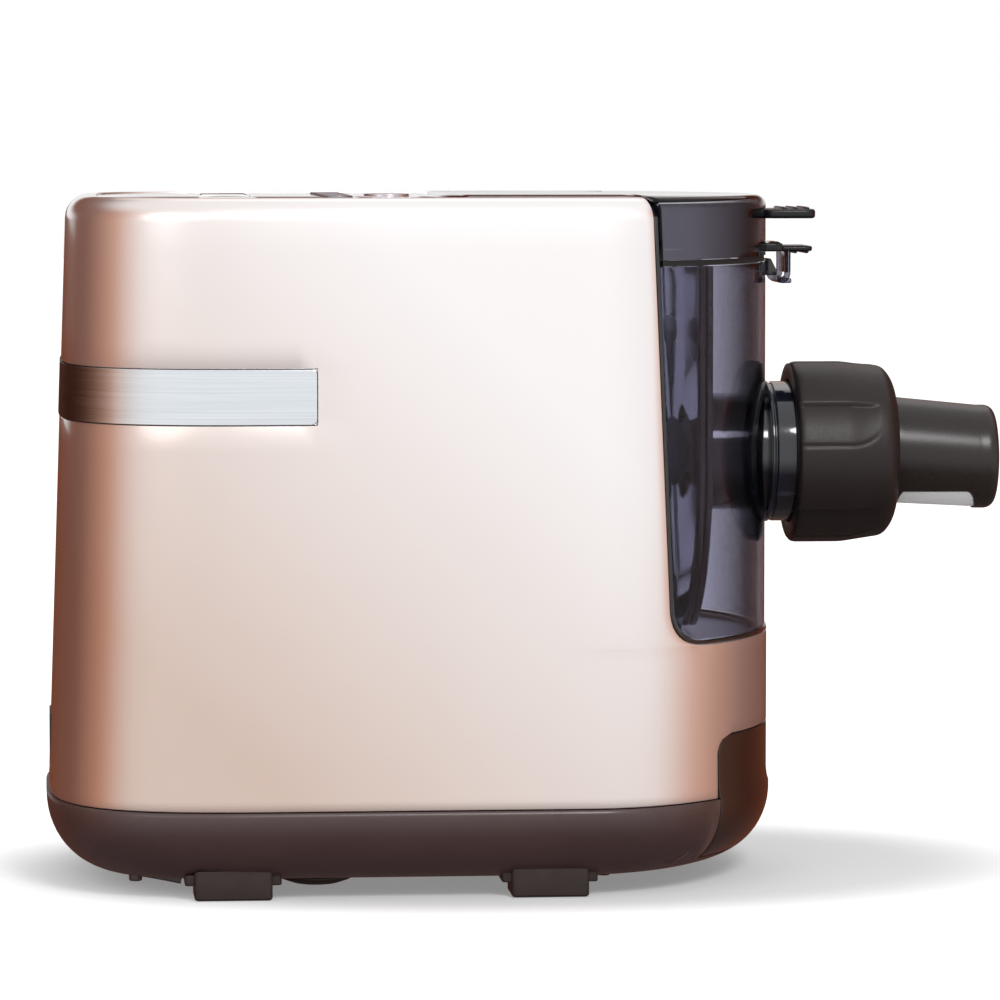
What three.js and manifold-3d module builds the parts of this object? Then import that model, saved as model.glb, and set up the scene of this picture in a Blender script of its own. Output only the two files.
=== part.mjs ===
import * as THREE from "three";
import { mergeVertices } from "three/addons/utils/BufferGeometryUtils.js";
import Module from "manifold-3d";

const wasm = await Module();
wasm.setup();

// Frame: millimetres, +X towards the nozzle, +Z up, Y = 0 the plane of symmetry, Z = 0 the table.

// Body
const bodyLength = 289;
const bodyWidth = 206;
const bodyTopZ = 269;
const noseReach = 91;
const rearRound = 96;
const noseRound = 79;
const rearPower = 3.3;
const nosePower = 1.85;
const rearLean = 8;
const sideLean = 4;
const wall = 3;
const topEdgeRadius = 9;
const topOpeningInset = 12;
const baseOutset = 1;
const seamZ = 35;

// Base
const footHeight = 7;
const baseRoundIn = 24;
const baseRoundHigh = 26;

// Window, cover and lid
const windowTopReach = 57;
const windowLowReach = 50;
const windowSill = 4;
const windowCornerRadius = 16;
const rimWidth = 1.3;
const coverInset = 0.8;
const coverWall = 2.5;
const lidHeight = 24;
const lidWall = 2.5;
const lidEdgeRadius = 4.5;
const lidTailTaper = 1.8;
const hingeSetback = 12;
const hingeRadius = 6;
const hingePinRadius = 2.2;
const hingePinDepth = 8;
const hingePinReach = 6;

// Drive
const axisShare = 0.50835;
const shaftRadius = 5;
const stageOneModule = 1.5;
const motorTeeth = 11;
const idlerTeeth = 29;
const stageTwoModule = 2;
const idlerPinionTeeth = 13;
const outputTeeth = 38;
const motorRadius = 32;
const motorRearSpace = 31.7;

// Chamber and nozzle
const chamberLength = 106.5;
const chamberSetback = 34.5;
const bulkheadThickness = 2.5;
const tubRadius = 64;
const tubWall = 2.5;
const tubRise = 7.5;
const barrelBore = 19;
const barrelWall = 4.4;
const collarRadius = 28.2;
const nutRadius = 36.5;
const nutLength = 41.6;
const collarShow = 9;
const spoutRadius = 21.6;

// Drawer
const drawerSideMargin = 29;
const drawerTopZ = 59.5;
const drawerBottomZ = 11.5;
const trayReach = 119;
const traySideMargin = 12;

// Clearances, rounding and overruns
const gap = 0.3;
const seat = 0.5;
const overrun = 2;
const mergeTolerance = 0.0001;
const roundSteps = 3;
const quarterSteps = 8;
const arcSteps = 10;
const fineSides = 24;
const plainSides = 14;
const smallSides = 8;

// Places worked out from the sizes above
const rearX = -(bodyLength + noseReach) / 2;
const noseX = rearX + bodyLength;
const spoutEndX = noseX + noseReach;
const rearCentreX = rearX + rearRound;
const noseCentreX = noseX - noseRound;
const shellNoseX = noseX - baseOutset;
const floorZ = footHeight + wall;
const roundTopZ = footHeight + baseRoundHigh;
const axisZ = drawerTopZ + (bodyTopZ - drawerTopZ) * axisShare;
const deckZ = axisZ - tubRadius - tubWall - tubRise;
const tubFrontX = noseX - chamberSetback;
const bulkheadX = tubFrontX - chamberLength;
const windowTopX = noseX - windowTopReach;
const windowLowX = noseX - windowLowReach;
const windowBottomZ = deckZ + windowSill;
const windowCornerZ = windowBottomZ + windowCornerRadius;
const windowSlope = (windowLowX - windowTopX) / (bodyTopZ - windowCornerZ);
const lidSeamZ = bodyTopZ - lidHeight;
const lidFrontX = shellNoseX - coverInset;
const hingeX = bulkheadX + hingeSetback;
const drawerHalfWidth = bodyWidth / 2 - drawerSideMargin;
const trayHalfWidth = drawerHalfWidth - traySideMargin;
const trayRearX = noseX - trayReach;
const hingeZ = bodyTopZ - hingeRadius;
const lidTailHalf = bodyWidth / 2 - baseOutset - sideLean - topOpeningInset - seat;
const idlerZ = axisZ - (stageTwoModule * (idlerPinionTeeth + outputTeeth)) / 2;
const motorZ = idlerZ - (stageOneModule * (motorTeeth + idlerTeeth)) / 2;
const bulkheadFrontX = bulkheadX + bulkheadThickness;
const barrelRadius = barrelBore + barrelWall;
const far = bodyLength + bodyWidth;

// Group tree, with a group at each pivot
const machine = new THREE.Group();
machine.name = "pasta_maker";

function pivot(parent, x, y, z) {
  const group = new THREE.Group();
  group.position.set(x, y, z).sub(parent.getWorldPosition(new THREE.Vector3()));
  parent.add(group);
  group.updateWorldMatrix(true, false);
  return group;
}

// A solid from a closed geometry, with its shared corners merged
function solidFrom(geometry) {
  const bare = geometry.clone();
  bare.deleteAttribute("normal");
  bare.deleteAttribute("uv");
  const merged = mergeVertices(bare, mergeTolerance);
  return new wasm.Manifold(new wasm.Mesh({
    numProp: 3,
    vertProperties: merged.attributes.position.array,
    triVerts: new Uint32Array(merged.index.array),
  }));
}

// A named mesh from a solid, placed in its group without moving it in the machine
function add(group, name, solid, look) {
  const made = solid.getMesh();
  const geometry = new THREE.BufferGeometry();
  geometry.setAttribute("position", new THREE.BufferAttribute(made.vertProperties, 3));
  geometry.setIndex(new THREE.BufferAttribute(made.triVerts, 1));
  const origin = group.getWorldPosition(new THREE.Vector3());
  const flat = geometry.toNonIndexed();
  flat.translate(-origin.x, -origin.y, -origin.z);
  flat.computeVertexNormals();
  const mesh = new THREE.Mesh(flat, new THREE.MeshStandardMaterial(look));
  mesh.name = name;
  group.add(mesh);
  return mesh;
}

function joined(...solids) {
  return solids.reduce((sum, solid) => sum.add(solid));
}

// Boxes, cylinders, lathed rings and extruded outlines along the machine's axes
function box(x0, x1, y0, y1, z0, z1) {
  const geometry = new THREE.BoxGeometry(x1 - x0, y1 - y0, z1 - z0);
  return solidFrom(geometry.translate((x0 + x1) / 2, (y0 + y1) / 2, (z0 + z1) / 2));
}

function rodX(radius, x0, x1, y, z, sides = plainSides) {
  const geometry = new THREE.CylinderGeometry(radius, radius, x1 - x0, sides);
  return solidFrom(geometry.rotateZ(-Math.PI / 2).translate((x0 + x1) / 2, y, z));
}

function rodY(radius, y0, y1, x, z, sides = plainSides) {
  const geometry = new THREE.CylinderGeometry(radius, radius, y1 - y0, sides);
  return solidFrom(geometry.translate(x, (y0 + y1) / 2, z));
}

function rodZ(radius, z0, z1, x, y, sides = plainSides) {
  const geometry = new THREE.CylinderGeometry(radius, radius, z1 - z0, sides);
  return solidFrom(geometry.rotateX(Math.PI / 2).translate(x, y, (z0 + z1) / 2));
}

function turnedX(profile, y, z, sides = fineSides) {
  const points = profile.map(([x, radius]) => new THREE.Vector2(radius, x));
  const geometry = new THREE.LatheGeometry(points, sides);
  return solidFrom(geometry.rotateZ(-Math.PI / 2).translate(0, y, z));
}

function ringX(outer, inner, x0, x1, z, sides = fineSides) {
  return turnedX([[x0, inner], [x0, outer], [x1, outer], [x1, inner], [x0, inner]], 0, z, sides);
}

function extruded(shape, low, high, basis) {
  const geometry = new THREE.ExtrudeGeometry(shape, {
    depth: high - low,
    bevelEnabled: false,
    curveSegments: arcSteps,
  });
  geometry.translate(0, 0, low);
  return solidFrom(geometry.applyMatrix4(basis));
}

const unitX = new THREE.Vector3(1, 0, 0);
const unitY = new THREE.Vector3(0, 1, 0);
const unitZ = new THREE.Vector3(0, 0, 1);
const sideBasis = new THREE.Matrix4().makeBasis(unitX, unitZ, unitY.clone().negate());
const frontBasis = new THREE.Matrix4().makeBasis(unitY, unitZ, unitX);

// An outline in X and Z, extruded over the half width to each side of the plane of symmetry
function acrossBody(shape, half) {
  return extruded(shape, -half, half, sideBasis);
}

// An outline in Y and Z, extruded from x0 to x1
function alongX(shape, x0, x1) {
  return extruded(shape, x0, x1, frontBasis);
}

// A closed solid through rings of equal count, from the lowest to the highest
function loft(rings) {
  const count = rings[0].points.length;
  const positions = [];
  const faces = [];
  for (const { level, points } of rings) {
    for (const point of points) positions.push(point.x, point.y, level);
  }
  for (let ring = 0; ring < rings.length - 1; ring++) {
    for (let i = 0; i < count; i++) {
      const here = ring * count + i;
      const next = ring * count + ((i + 1) % count);
      faces.push(here, next, next + count, here, next + count, here + count);
    }
  }
  const last = (rings.length - 1) * count;
  for (const [a, b, c] of THREE.ShapeUtils.triangulateShape(rings[0].points, [])) {
    faces.push(a, c, b, last + a, last + b, last + c);
  }
  const geometry = new THREE.BufferGeometry();
  geometry.setAttribute("position", new THREE.Float32BufferAttribute(positions, 3));
  geometry.setIndex(faces);
  return solidFrom(geometry);
}

// Body outline in plan: a squarish rear and an oval nose joined by straight sides
function superPoint(centreX, depth, half, power, angle) {
  const reach = (value) => Math.sign(value) * Math.abs(value) ** (2 / power);
  return new THREE.Vector2(
    centreX + depth * reach(Math.cos(angle)),
    half * reach(Math.sin(angle)),
  );
}

function moved(points, inset) {
  const count = points.length;
  return points.map((point, i) => {
    const before = point.clone().sub(points[(i + count - 1) % count]).normalize();
    const after = points[(i + 1) % count].clone().sub(point).normalize();
    const normal = new THREE.Vector2(before.y + after.y, -before.x - after.x);
    return point.clone().addScaledVector(normal, -inset / (1 + before.dot(after)));
  });
}

function bodyOutline(level, inset) {
  const share = Math.max(0, (level - seamZ) / (bodyTopZ - seamZ));
  const half = bodyWidth / 2 - baseOutset - sideLean * share;
  const rear = rearRound - baseOutset - rearLean * share;
  const nose = noseRound - baseOutset;
  const points = [];
  for (let i = 0; i <= 2 * quarterSteps; i++) {
    const angle = (Math.PI / 2) * (i / quarterSteps - 1);
    points.push(superPoint(noseCentreX, nose, half, nosePower, angle));
  }
  for (let i = 0; i <= 2 * quarterSteps; i++) {
    const angle = (Math.PI / 2) * (i / quarterSteps + 1);
    points.push(superPoint(rearCentreX, rear, half, rearPower, angle));
  }
  return moved(points, inset);
}

function bodyLoft(levels) {
  return loft(levels.map(([level, inset]) => ({ level, points: bodyOutline(level, inset) })));
}

// Levels that run straight up and round over at the top
function roundedLevels(low, high, inset, radius) {
  const levels = [[low, inset]];
  for (let i = 0; i <= roundSteps; i++) {
    const angle = (Math.PI / 2) * (i / roundSteps);
    levels.push([high - radius + radius * Math.sin(angle), inset + radius * (1 - Math.cos(angle))]);
  }
  return levels;
}

// The base's rounded flank: how far in it lies at a level, a thickness under its skin
function flankInset(level, thickness) {
  const drop = Math.max(0, roundTopZ - level) / (baseRoundHigh - thickness);
  const round = 1 - Math.sqrt(Math.max(0, 1 - drop * drop));
  return thickness - baseOutset + (baseRoundIn - thickness) * round;
}

function flankLoft(low, high, thickness) {
  const bottom = Math.max(low, footHeight + thickness);
  const levels = [];
  for (let i = 0; i <= roundSteps + 1; i++) {
    const level = bottom + (roundTopZ - bottom) * Math.sin((Math.PI / 2) * (i / (roundSteps + 1))) ** 2;
    if (level < high) levels.push([level, flankInset(level, thickness)]);
  }
  levels.push([high, flankInset(high, thickness)]);
  return bodyLoft(levels);
}

// Side outline of the window, drawn in by an amount on its rear and bottom edges
function windowOutline(inset) {
  const top = bodyTopZ + overrun;
  const right = noseX + overrun;
  const bottom = windowBottomZ + inset;
  const radius = windowCornerRadius - inset;
  const cornerX = windowLowX + inset;
  const shape = new THREE.Shape();
  shape.moveTo(right, top);
  shape.lineTo(cornerX - windowSlope * (top - windowCornerZ), top);
  shape.lineTo(cornerX, bottom + radius);
  shape.quadraticCurveTo(cornerX, bottom, cornerX + radius, bottom);
  shape.lineTo(right, bottom);
  shape.closePath();
  return shape;
}

// Side outline of the trim band: a strip with rounded front corners, open past the rear
const bandDrop = 65;
const bandHeight = 21;
const bandReach = 103;
const bandCorner = 1.8;
const bandRecess = 1.3;
const bandProud = 0.5;
const bandTopZ = bodyTopZ - bandDrop;
const bandBottomZ = bandTopZ - bandHeight;
const bandFrontX = rearX + bandReach;

function bandOutline(grow) {
  const front = bandFrontX + grow;
  const low = bandBottomZ - grow;
  const high = bandTopZ + grow;
  const shape = new THREE.Shape();
  shape.moveTo(rearX - far, low);
  shape.lineTo(front - bandCorner, low);
  shape.quadraticCurveTo(front, low, front, low + bandCorner);
  shape.lineTo(front, high - bandCorner);
  shape.quadraticCurveTo(front, high, front - bandCorner, high);
  shape.lineTo(rearX - far, high);
  shape.closePath();
  return shape;
}

// Power inlet in the rear wall
const inletHalfWidth = 14;
const inletLowZ = 42;
const inletHeight = 20;
const inletDepth = 17;
const inletFlange = 2.5;
const inletSkin = 0.9;
const inletRim = 2.5;
const inletSink = 0.1;

// Materials by part family
const champagne = { color: 0xddc9be, roughness: 0.3, metalness: 0.45 };
const brownGloss = { color: 0x3b2b2a, roughness: 0.35, metalness: 0 };
const blackGloss = { color: 0x141316, roughness: 0.15, metalness: 0 };
const steelBrushed = { color: 0xd5d8dc, roughness: 0.35, metalness: 1 };
const smokeClear = { color: 0x4a4a5c, roughness: 0.08, metalness: 0, transparent: true, opacity: 0.5 };
const rubberBlack = { color: 0x1d1a1a, roughness: 0.85, metalness: 0 };
const nutBrown = { color: 0x3d3836, roughness: 0.6, metalness: 0 };
const greyPlastic = { color: 0xb9b4bd, roughness: 0.5, metalness: 0 };
const whitePlastic = { color: 0xe6e4e2, roughness: 0.5, metalness: 0 };
const darkPlastic = { color: 0x2b2a2d, roughness: 0.6, metalness: 0 };
const steelPlain = { color: 0xb5b8bc, roughness: 0.3, metalness: 1 };
const boardGreen = { color: 0x1f5a3a, roughness: 0.6, metalness: 0 };

// Housing shell with its window, drawer cut, band recess, hinge bosses and inlet hole
const hingeBossReach = 6;
const hingeBossDrop = 7;

function hingeBosses() {
  const inner = bodyWidth / 2 - baseOutset - sideLean - topOpeningInset;
  const block = box(
    hingeX - hingeBossReach, hingeX + hingeBossReach,
    -far, far,
    hingeZ - hingeBossDrop, bodyTopZ - wall + gap,
  );
  const between = box(-far, far, -inner, inner, 0, bodyTopZ);
  const inside = bodyLoft(roundedLevels(seamZ, bodyTopZ - wall / 2, wall / 2, topEdgeRadius - wall / 2));
  return block.subtract(between).intersect(inside);
}

function housingShell() {
  const outer = bodyLoft(roundedLevels(seamZ + gap, bodyTopZ, 0, topEdgeRadius));
  const inner = bodyLoft(roundedLevels(seamZ - overrun, bodyTopZ - wall, wall, topEdgeRadius - wall));
  const opening = bodyLoft([
    [bodyTopZ - wall - overrun, topOpeningInset],
    [bodyTopZ + overrun, topOpeningInset],
  ]);
  const recessBand = bodyLoft([[seamZ, -bandProud - overrun], [bodyTopZ, -bandProud - overrun]])
    .subtract(bodyLoft([[seamZ - overrun, bandRecess], [bodyTopZ + overrun, bandRecess]]))
    .intersect(acrossBody(bandOutline(gap), far));
  const drawerCut = box(
    noseCentreX, noseX + overrun,
    -drawerHalfWidth - seat, drawerHalfWidth + seat,
    0, drawerTopZ + seat,
  );
  const inletHole = box(
    rearX - overrun, rearX + inletDepth,
    -inletHalfWidth - gap, inletHalfWidth + gap,
    inletLowZ - gap, inletLowZ + inletHeight + gap,
  );
  return outer
    .subtract(inner)
    .add(hingeBosses())
    .subtract(opening)
    .subtract(acrossBody(windowOutline(0), far))
    .subtract(recessBand)
    .subtract(drawerCut)
    .subtract(inletHole)
    .subtract(pinBore());
}

// The hinge pins' hole: through the bosses and the ends of the lid's barrel, blind in the shell
function pinBore() {
  const reach = lidTailHalf + hingePinReach + gap;
  const clear = lidTailHalf - hingePinDepth;
  return rodY(hingePinRadius + gap, -reach, reach, hingeX, hingeZ, smallSides)
    .subtract(box(-far, far, -clear, clear, 0, far));
}

function trimBand() {
  return bodyLoft([[seamZ, -bandProud], [bodyTopZ, -bandProud]])
    .subtract(bodyLoft([[seamZ - overrun, bandRecess - gap], [bodyTopZ + overrun, bandRecess - gap]]))
    .intersect(acrossBody(bandOutline(0), far));
}

function windowRim() {
  const outer = bodyLoft(roundedLevels(windowBottomZ - overrun, bodyTopZ, 0, topEdgeRadius));
  const inner = bodyLoft(
    roundedLevels(windowBottomZ - 2 * overrun, bodyTopZ - wall, wall, topEdgeRadius - wall),
  );
  const opening = bodyLoft([
    [bodyTopZ - wall - overrun, topOpeningInset],
    [bodyTopZ + overrun, topOpeningInset],
  ]);
  return outer
    .subtract(inner)
    .subtract(opening)
    .intersect(acrossBody(windowOutline(gap), far))
    .subtract(acrossBody(windowOutline(gap + rimWidth), far));
}

// Base tray with its drawer mouth, vent slots, side slots and underside pegs
const ventCount = 5;
const ventPitch = 7;
const ventLength = 26;
const ventWidth = 3;
const ventInset = 30;
const ventCentreX = rearX + ventInset;
const sideSlotSetback = 46;
const sideSlotX = noseX - sideSlotSetback;
const sideSlotZ = 12;
const sideSlotLength = 11;
const sideSlotHeight = 2.2;
const sideSlotDepth = 24;
const sideSlotTilt = Math.PI / 7;
const pegRadius = 2.5;
const pegInset = 34;
const pegX = rearX + pegInset;
const pegSideMargin = 37;
const pegY = bodyWidth / 2 - pegSideMargin;
const pegDrop = 2.2;
const stubSetback = 73;
const stubX = noseX - stubSetback;

function sideSlot(side) {
  const geometry = new THREE.BoxGeometry(sideSlotLength, sideSlotDepth, sideSlotHeight);
  geometry.rotateY(-sideSlotTilt);
  geometry.translate(sideSlotX, side * (bodyWidth / 2 - sideSlotDepth / 2), sideSlotZ);
  return solidFrom(geometry);
}

function baseTray() {
  let tray = flankLoft(footHeight, seamZ, 0).subtract(flankLoft(floorZ, seamZ + overrun, wall));
  tray = tray.subtract(box(
    noseCentreX, noseX + overrun,
    -drawerHalfWidth - seat, drawerHalfWidth + seat,
    drawerBottomZ - gap, seamZ + overrun,
  ));
  for (let i = 0; i < ventCount; i++) {
    const y = (i - (ventCount - 1) / 2) * ventPitch;
    tray = tray.subtract(box(
      ventCentreX - ventLength / 2, ventCentreX + ventLength / 2,
      y - ventWidth / 2, y + ventWidth / 2,
      footHeight - overrun, floorZ + overrun,
    ));
  }
  for (const side of [-1, 1]) {
    const low = footHeight - pegDrop;
    tray = tray.subtract(sideSlot(side));
    tray = tray.add(rodZ(pegRadius, low, floorZ - wall / 2, pegX, side * pegY, smallSides));
    tray = tray.add(rodZ(pegRadius, low, floorZ - wall / 2, stubX, side * pegY, smallSides));
  }
  return tray;
}

// Rubber feet under the base's flank, and the two shallow round pads between them
const footRearInset = 71;
const footFrontSetback = 96;
const footX = { rear: rearX + footRearInset, front: noseX - footFrontSetback };
const footLength = 30;
const footOuterMargin = 11;
const footOuterY = bodyWidth / 2 - footOuterMargin;
const footInnerMargin = 33;
const footInnerY = bodyWidth / 2 - footInnerMargin;
const footTopZ = 13;
const footFlange = 3.6;
const footFlangeZ = 5.5;
const padRadius = 14.5;
const padInset = 104;
const padX = rearX + padInset;
const padSideMargin = 40;
const padY = bodyWidth / 2 - padSideMargin;
const padBottomZ = 2.4;
const padEdge = 1.4;

function foot(x, side) {
  const low = Math.min(side * footInnerY, side * footOuterY);
  const high = Math.max(side * footInnerY, side * footOuterY);
  const half = footLength / 2;
  const block = box(x - half, x + half, low, high, 0, footTopZ);
  const flange = box(
    x - half - footFlange, x + half + footFlange,
    low + wall, high - wall,
    footFlangeZ, footTopZ - padEdge,
  );
  return block.add(flange).subtract(flankLoftGrown(gap));
}

function flankLoftGrown(grow) {
  const levels = [];
  for (let i = 0; i <= roundSteps + 1; i++) {
    const level = footHeight + baseRoundHigh * Math.sin((Math.PI / 2) * (i / (roundSteps + 1))) ** 2;
    levels.push([level - grow, flankInset(level, 0) - grow]);
  }
  levels.push([seamZ + grow, -baseOutset - grow]);
  return bodyLoft(levels);
}

function roundPad(side) {
  const profile = [
    new THREE.Vector2(0, footHeight - gap),
    new THREE.Vector2(padRadius, footHeight - gap),
    new THREE.Vector2(padRadius, footHeight - gap - padEdge),
    new THREE.Vector2(padRadius / 2, padBottomZ + padEdge / 2),
    new THREE.Vector2(0, padBottomZ),
  ].reverse();
  const geometry = new THREE.LatheGeometry(profile, plainSides);
  return solidFrom(geometry.rotateX(Math.PI / 2).translate(padX, side * padY, 0));
}

// Top panel with its key holes, display window and board posts
const panelSink = 0.4;
const panelTopZ = bodyTopZ - panelSink;
const panelThickness = 2.6;
const panelFlangeInset = 9.5;
const panelRim = 4;
const panelFlangeDrop = 5.8;
const panelFlangeZ = bodyTopZ - panelFlangeDrop;
const panelFrontX = hingeX - hingeRadius - 2 * gap;
const keyRadius = 6;
const keySetback = 46;
const keyX = hingeX - keySetback;
const keyPitch = 22;
const keyCount = 5;
const startRadius = 9;
const startSetback = 24;
const startX = hingeX - startSetback;
const lensShare = 0.6315;
const lensX = rearX + (keyX - rearX) * lensShare;
const lensHalfLength = 9;
const lensHalfWidth = 28;
const boardDrop = 16.7;
const boardZ = bodyTopZ - boardDrop;
const boardThickness = 1.6;
const boardRearReach = 22;
const boardRearX = lensX - boardRearReach;
const boardFrontSetback = 6;
const boardFrontX = startX - boardFrontSetback;
const boardSideMargin = 47;
const boardHalfWidth = bodyWidth / 2 - boardSideMargin;
const postRadius = 3;
const postInset = 5;

const keyPlaces = [];
for (let i = 0; i < keyCount; i++) {
  const y = (i - (keyCount - 1) / 2) * keyPitch;
  keyPlaces.push({ name: "key_" + (i + 1), x: keyX, y, radius: keyRadius });
}
const startPlace = { name: "start_button", x: startX, y: 0, radius: startRadius };

function topPanel() {
  const ceiling = panelTopZ - panelThickness;
  let panel = bodyLoft([
    [panelFlangeZ, topOpeningInset + seat],
    [panelTopZ, topOpeningInset + seat],
  ]);
  panel = panel.add(bodyLoft([
    [panelFlangeZ, panelFlangeInset],
    [bodyTopZ - wall - gap, panelFlangeInset],
  ]));
  panel = panel.subtract(box(panelFrontX, far, -far, far, 0, bodyTopZ + overrun));
  const pocket = bodyLoft([
    [panelFlangeZ - overrun, topOpeningInset + seat + panelRim],
    [ceiling, topOpeningInset + seat + panelRim],
  ]);
  panel = panel.subtract(pocket.intersect(
    box(-far, panelFrontX - panelRim, -far, far, 0, bodyTopZ),
  ));
  for (const place of [...keyPlaces, startPlace]) {
    const hole = rodZ(place.radius + gap, ceiling - overrun, bodyTopZ + overrun, place.x, place.y);
    panel = panel.subtract(hole);
  }
  panel = panel.subtract(box(
    lensX - lensHalfLength - gap, lensX + lensHalfLength + gap,
    -lensHalfWidth - gap, lensHalfWidth + gap,
    ceiling - overrun, bodyTopZ + overrun,
  ));
  for (const x of [boardRearX + postInset, boardFrontX - postInset]) {
    for (const side of [-1, 1]) {
      const y = side * (boardHalfWidth - postInset);
      panel = panel.add(rodZ(postRadius, boardZ + boardThickness + gap, ceiling + gap, x, y, smallSides));
    }
  }
  return panel;
}

function displayLens() {
  const ceiling = panelTopZ - panelThickness;
  const cap = box(
    lensX - lensHalfLength, lensX + lensHalfLength,
    -lensHalfWidth, lensHalfWidth,
    ceiling - gap, panelTopZ,
  );
  const lip = box(
    lensX - lensHalfLength - panelRim / 2, lensX + lensHalfLength + panelRim / 2,
    -lensHalfWidth - panelRim / 2, lensHalfWidth + panelRim / 2,
    ceiling - gap - boardThickness, ceiling - gap,
  );
  return cap.add(lip);
}

// A key: a cap through the panel, a collar under it and a stem down to the board
const keyProud = 0.6;
const keyCollar = 1.2;
const keyCollarHigh = 1.2;
const keyStemRadius = 2;
const keyTravel = 1;

function key(place) {
  const ceiling = panelTopZ - panelThickness;
  const collarTop = ceiling - gap;
  const collarLow = collarTop - keyCollarHigh;
  const stemLow = boardZ + boardThickness + keyTravel + gap;
  return joined(
    rodZ(place.radius, collarLow, panelTopZ + keyProud, place.x, place.y),
    rodZ(place.radius + keyCollar, collarLow, collarTop, place.x, place.y),
    rodZ(keyStemRadius, stemLow, collarLow + gap, place.x, place.y, smallSides),
  );
}

function controlBoard() {
  const board = box(
    boardRearX, boardFrontX, -boardHalfWidth, boardHalfWidth, boardZ, boardZ + boardThickness,
  );
  const chip = box(
    boardRearX + 2 * postInset, boardRearX + 6 * postInset, -postInset, 3 * postInset,
    boardZ - postRadius, boardZ + boardThickness / 2,
  );
  const display = box(
    lensX - lensHalfLength, lensX + lensHalfLength, -lensHalfWidth, lensHalfWidth,
    boardZ, boardZ + 2 * postInset,
  );
  const startArm = box(
    boardFrontX - postInset, startX + postInset, -2 * postInset, 2 * postInset,
    boardZ, boardZ + boardThickness,
  );
  return joined(board, chip, display, startArm);
}

// Bulkhead between the machinery and the chamber, and the deck under the chamber
const bulkheadTopZ = panelFlangeZ - gap;
const bulkheadFootMargin = 35;
const bulkheadFootHalf = bodyWidth / 2 - bulkheadFootMargin;
const deckThickness = 2.5;
const saddleHalfWidth = 40;
const saddleThickness = 4;
const saddleShares = [0.2, 0.72];

function insideBody(low, high, clearance) {
  return bodyLoft([[low, wall + clearance], [high, wall + clearance]]);
}

function bulkhead() {
  const lowZ = seamZ - baseOutset;
  const plate = box(bulkheadX, bulkheadFrontX, -far, far, lowZ, bulkheadTopZ)
    .intersect(bodyLoft(roundedLevels(lowZ, bodyTopZ - wall - gap, wall + gap, topEdgeRadius - wall)));
  const legs = box(
    bulkheadX, bulkheadFrontX, -bulkheadFootHalf, bulkheadFootHalf, floorZ + gap, lowZ + overrun,
  );
  return plate.add(legs).subtract(rodX(couplingRadius + seat, bulkheadX - overrun, far, 0, axisZ));
}

function deckPlate() {
  const low = bulkheadFrontX + gap;
  const plate = box(low, far, -far, far, deckZ, deckZ + deckThickness)
    .intersect(insideBody(deckZ - overrun, deckZ + 2 * deckThickness, gap));
  const length = tubFrontX - low;
  const bed = rodX(tubRadius + tubWall + gap, low - overrun, far, 0, axisZ, 2 * fineSides);
  const saddles = saddleShares.map((share) => {
    const x = low + share * length;
    return box(
      x, x + saddleThickness, -saddleHalfWidth, saddleHalfWidth,
      deckZ + deckThickness / 2, axisZ - tubRadius / 2,
    ).subtract(bed);
  });
  return joined(plate, ...saddles);
}

// Gears with straight-sided teeth, thinned for running clearance
const toothTipShare = 0.2;
const toothRootShare = 0.56;
const addendumShare = 0.85;
const dedendumShare = 1.2;

function gear(teeth, size, x0, x1, z, bore, turnShare) {
  const pitch = (teeth * size) / 2;
  const root = pitch - dedendumShare * size;
  const tip = pitch + addendumShare * size;
  const step = (2 * Math.PI) / teeth;
  const corners = [
    [root, -toothRootShare / 2], [tip, -toothTipShare / 2],
    [tip, toothTipShare / 2], [root, toothRootShare / 2],
  ];
  const points = [];
  for (let i = 0; i < teeth; i++) {
    const middle = Math.PI / 2 + (i + turnShare) * step;
    for (const [radius, share] of corners) {
      const angle = middle + share * step;
      points.push(new THREE.Vector2(radius * Math.cos(angle), radius * Math.sin(angle)));
    }
  }
  const shape = new THREE.Shape(points);
  return alongX(shape, x0, x1).translate([0, 0, z]).subtract(rodX(bore, x0 - overrun, x1 + overrun, 0, z));
}

// Gearbox: a pear-shaped case round the train, its cover, bearing, pin and gears
const caseLength = 37;
const caseSetback = 9;
const caseFrontX = bulkheadX - caseSetback;
const caseRearX = caseFrontX - caseLength;
const caseCoverThickness = 3;
const caseTopRadius = 45;
const caseBottomRadius = 29;
const caseBottomRise = 13;
const caseBottomZ = motorZ + caseBottomRise;
const pedestalHalfWidth = 24;
const bearingRadius = 11;
const idlerPinRadius = 3;
const rotorShaftRadius = 3;
const stageOneInset = 7;
const stageOneX = caseRearX + stageOneInset;
const stageOneFace = 9;
const stageGap = 4;
const stageTwoX = stageOneX + stageOneFace + stageGap;
const stageTwoFace = 12;

function pearOutline(inset) {
  const topRadius = caseTopRadius - inset;
  const bottomRadius = caseBottomRadius - inset;
  const tilt = Math.asin((topRadius - bottomRadius) / (axisZ - caseBottomZ));
  const shape = new THREE.Shape();
  shape.absarc(0, axisZ, topRadius, -tilt, Math.PI + tilt, false);
  shape.absarc(0, caseBottomZ, bottomRadius, Math.PI + tilt, 2 * Math.PI - tilt, false);
  shape.closePath();
  return shape;
}

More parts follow.
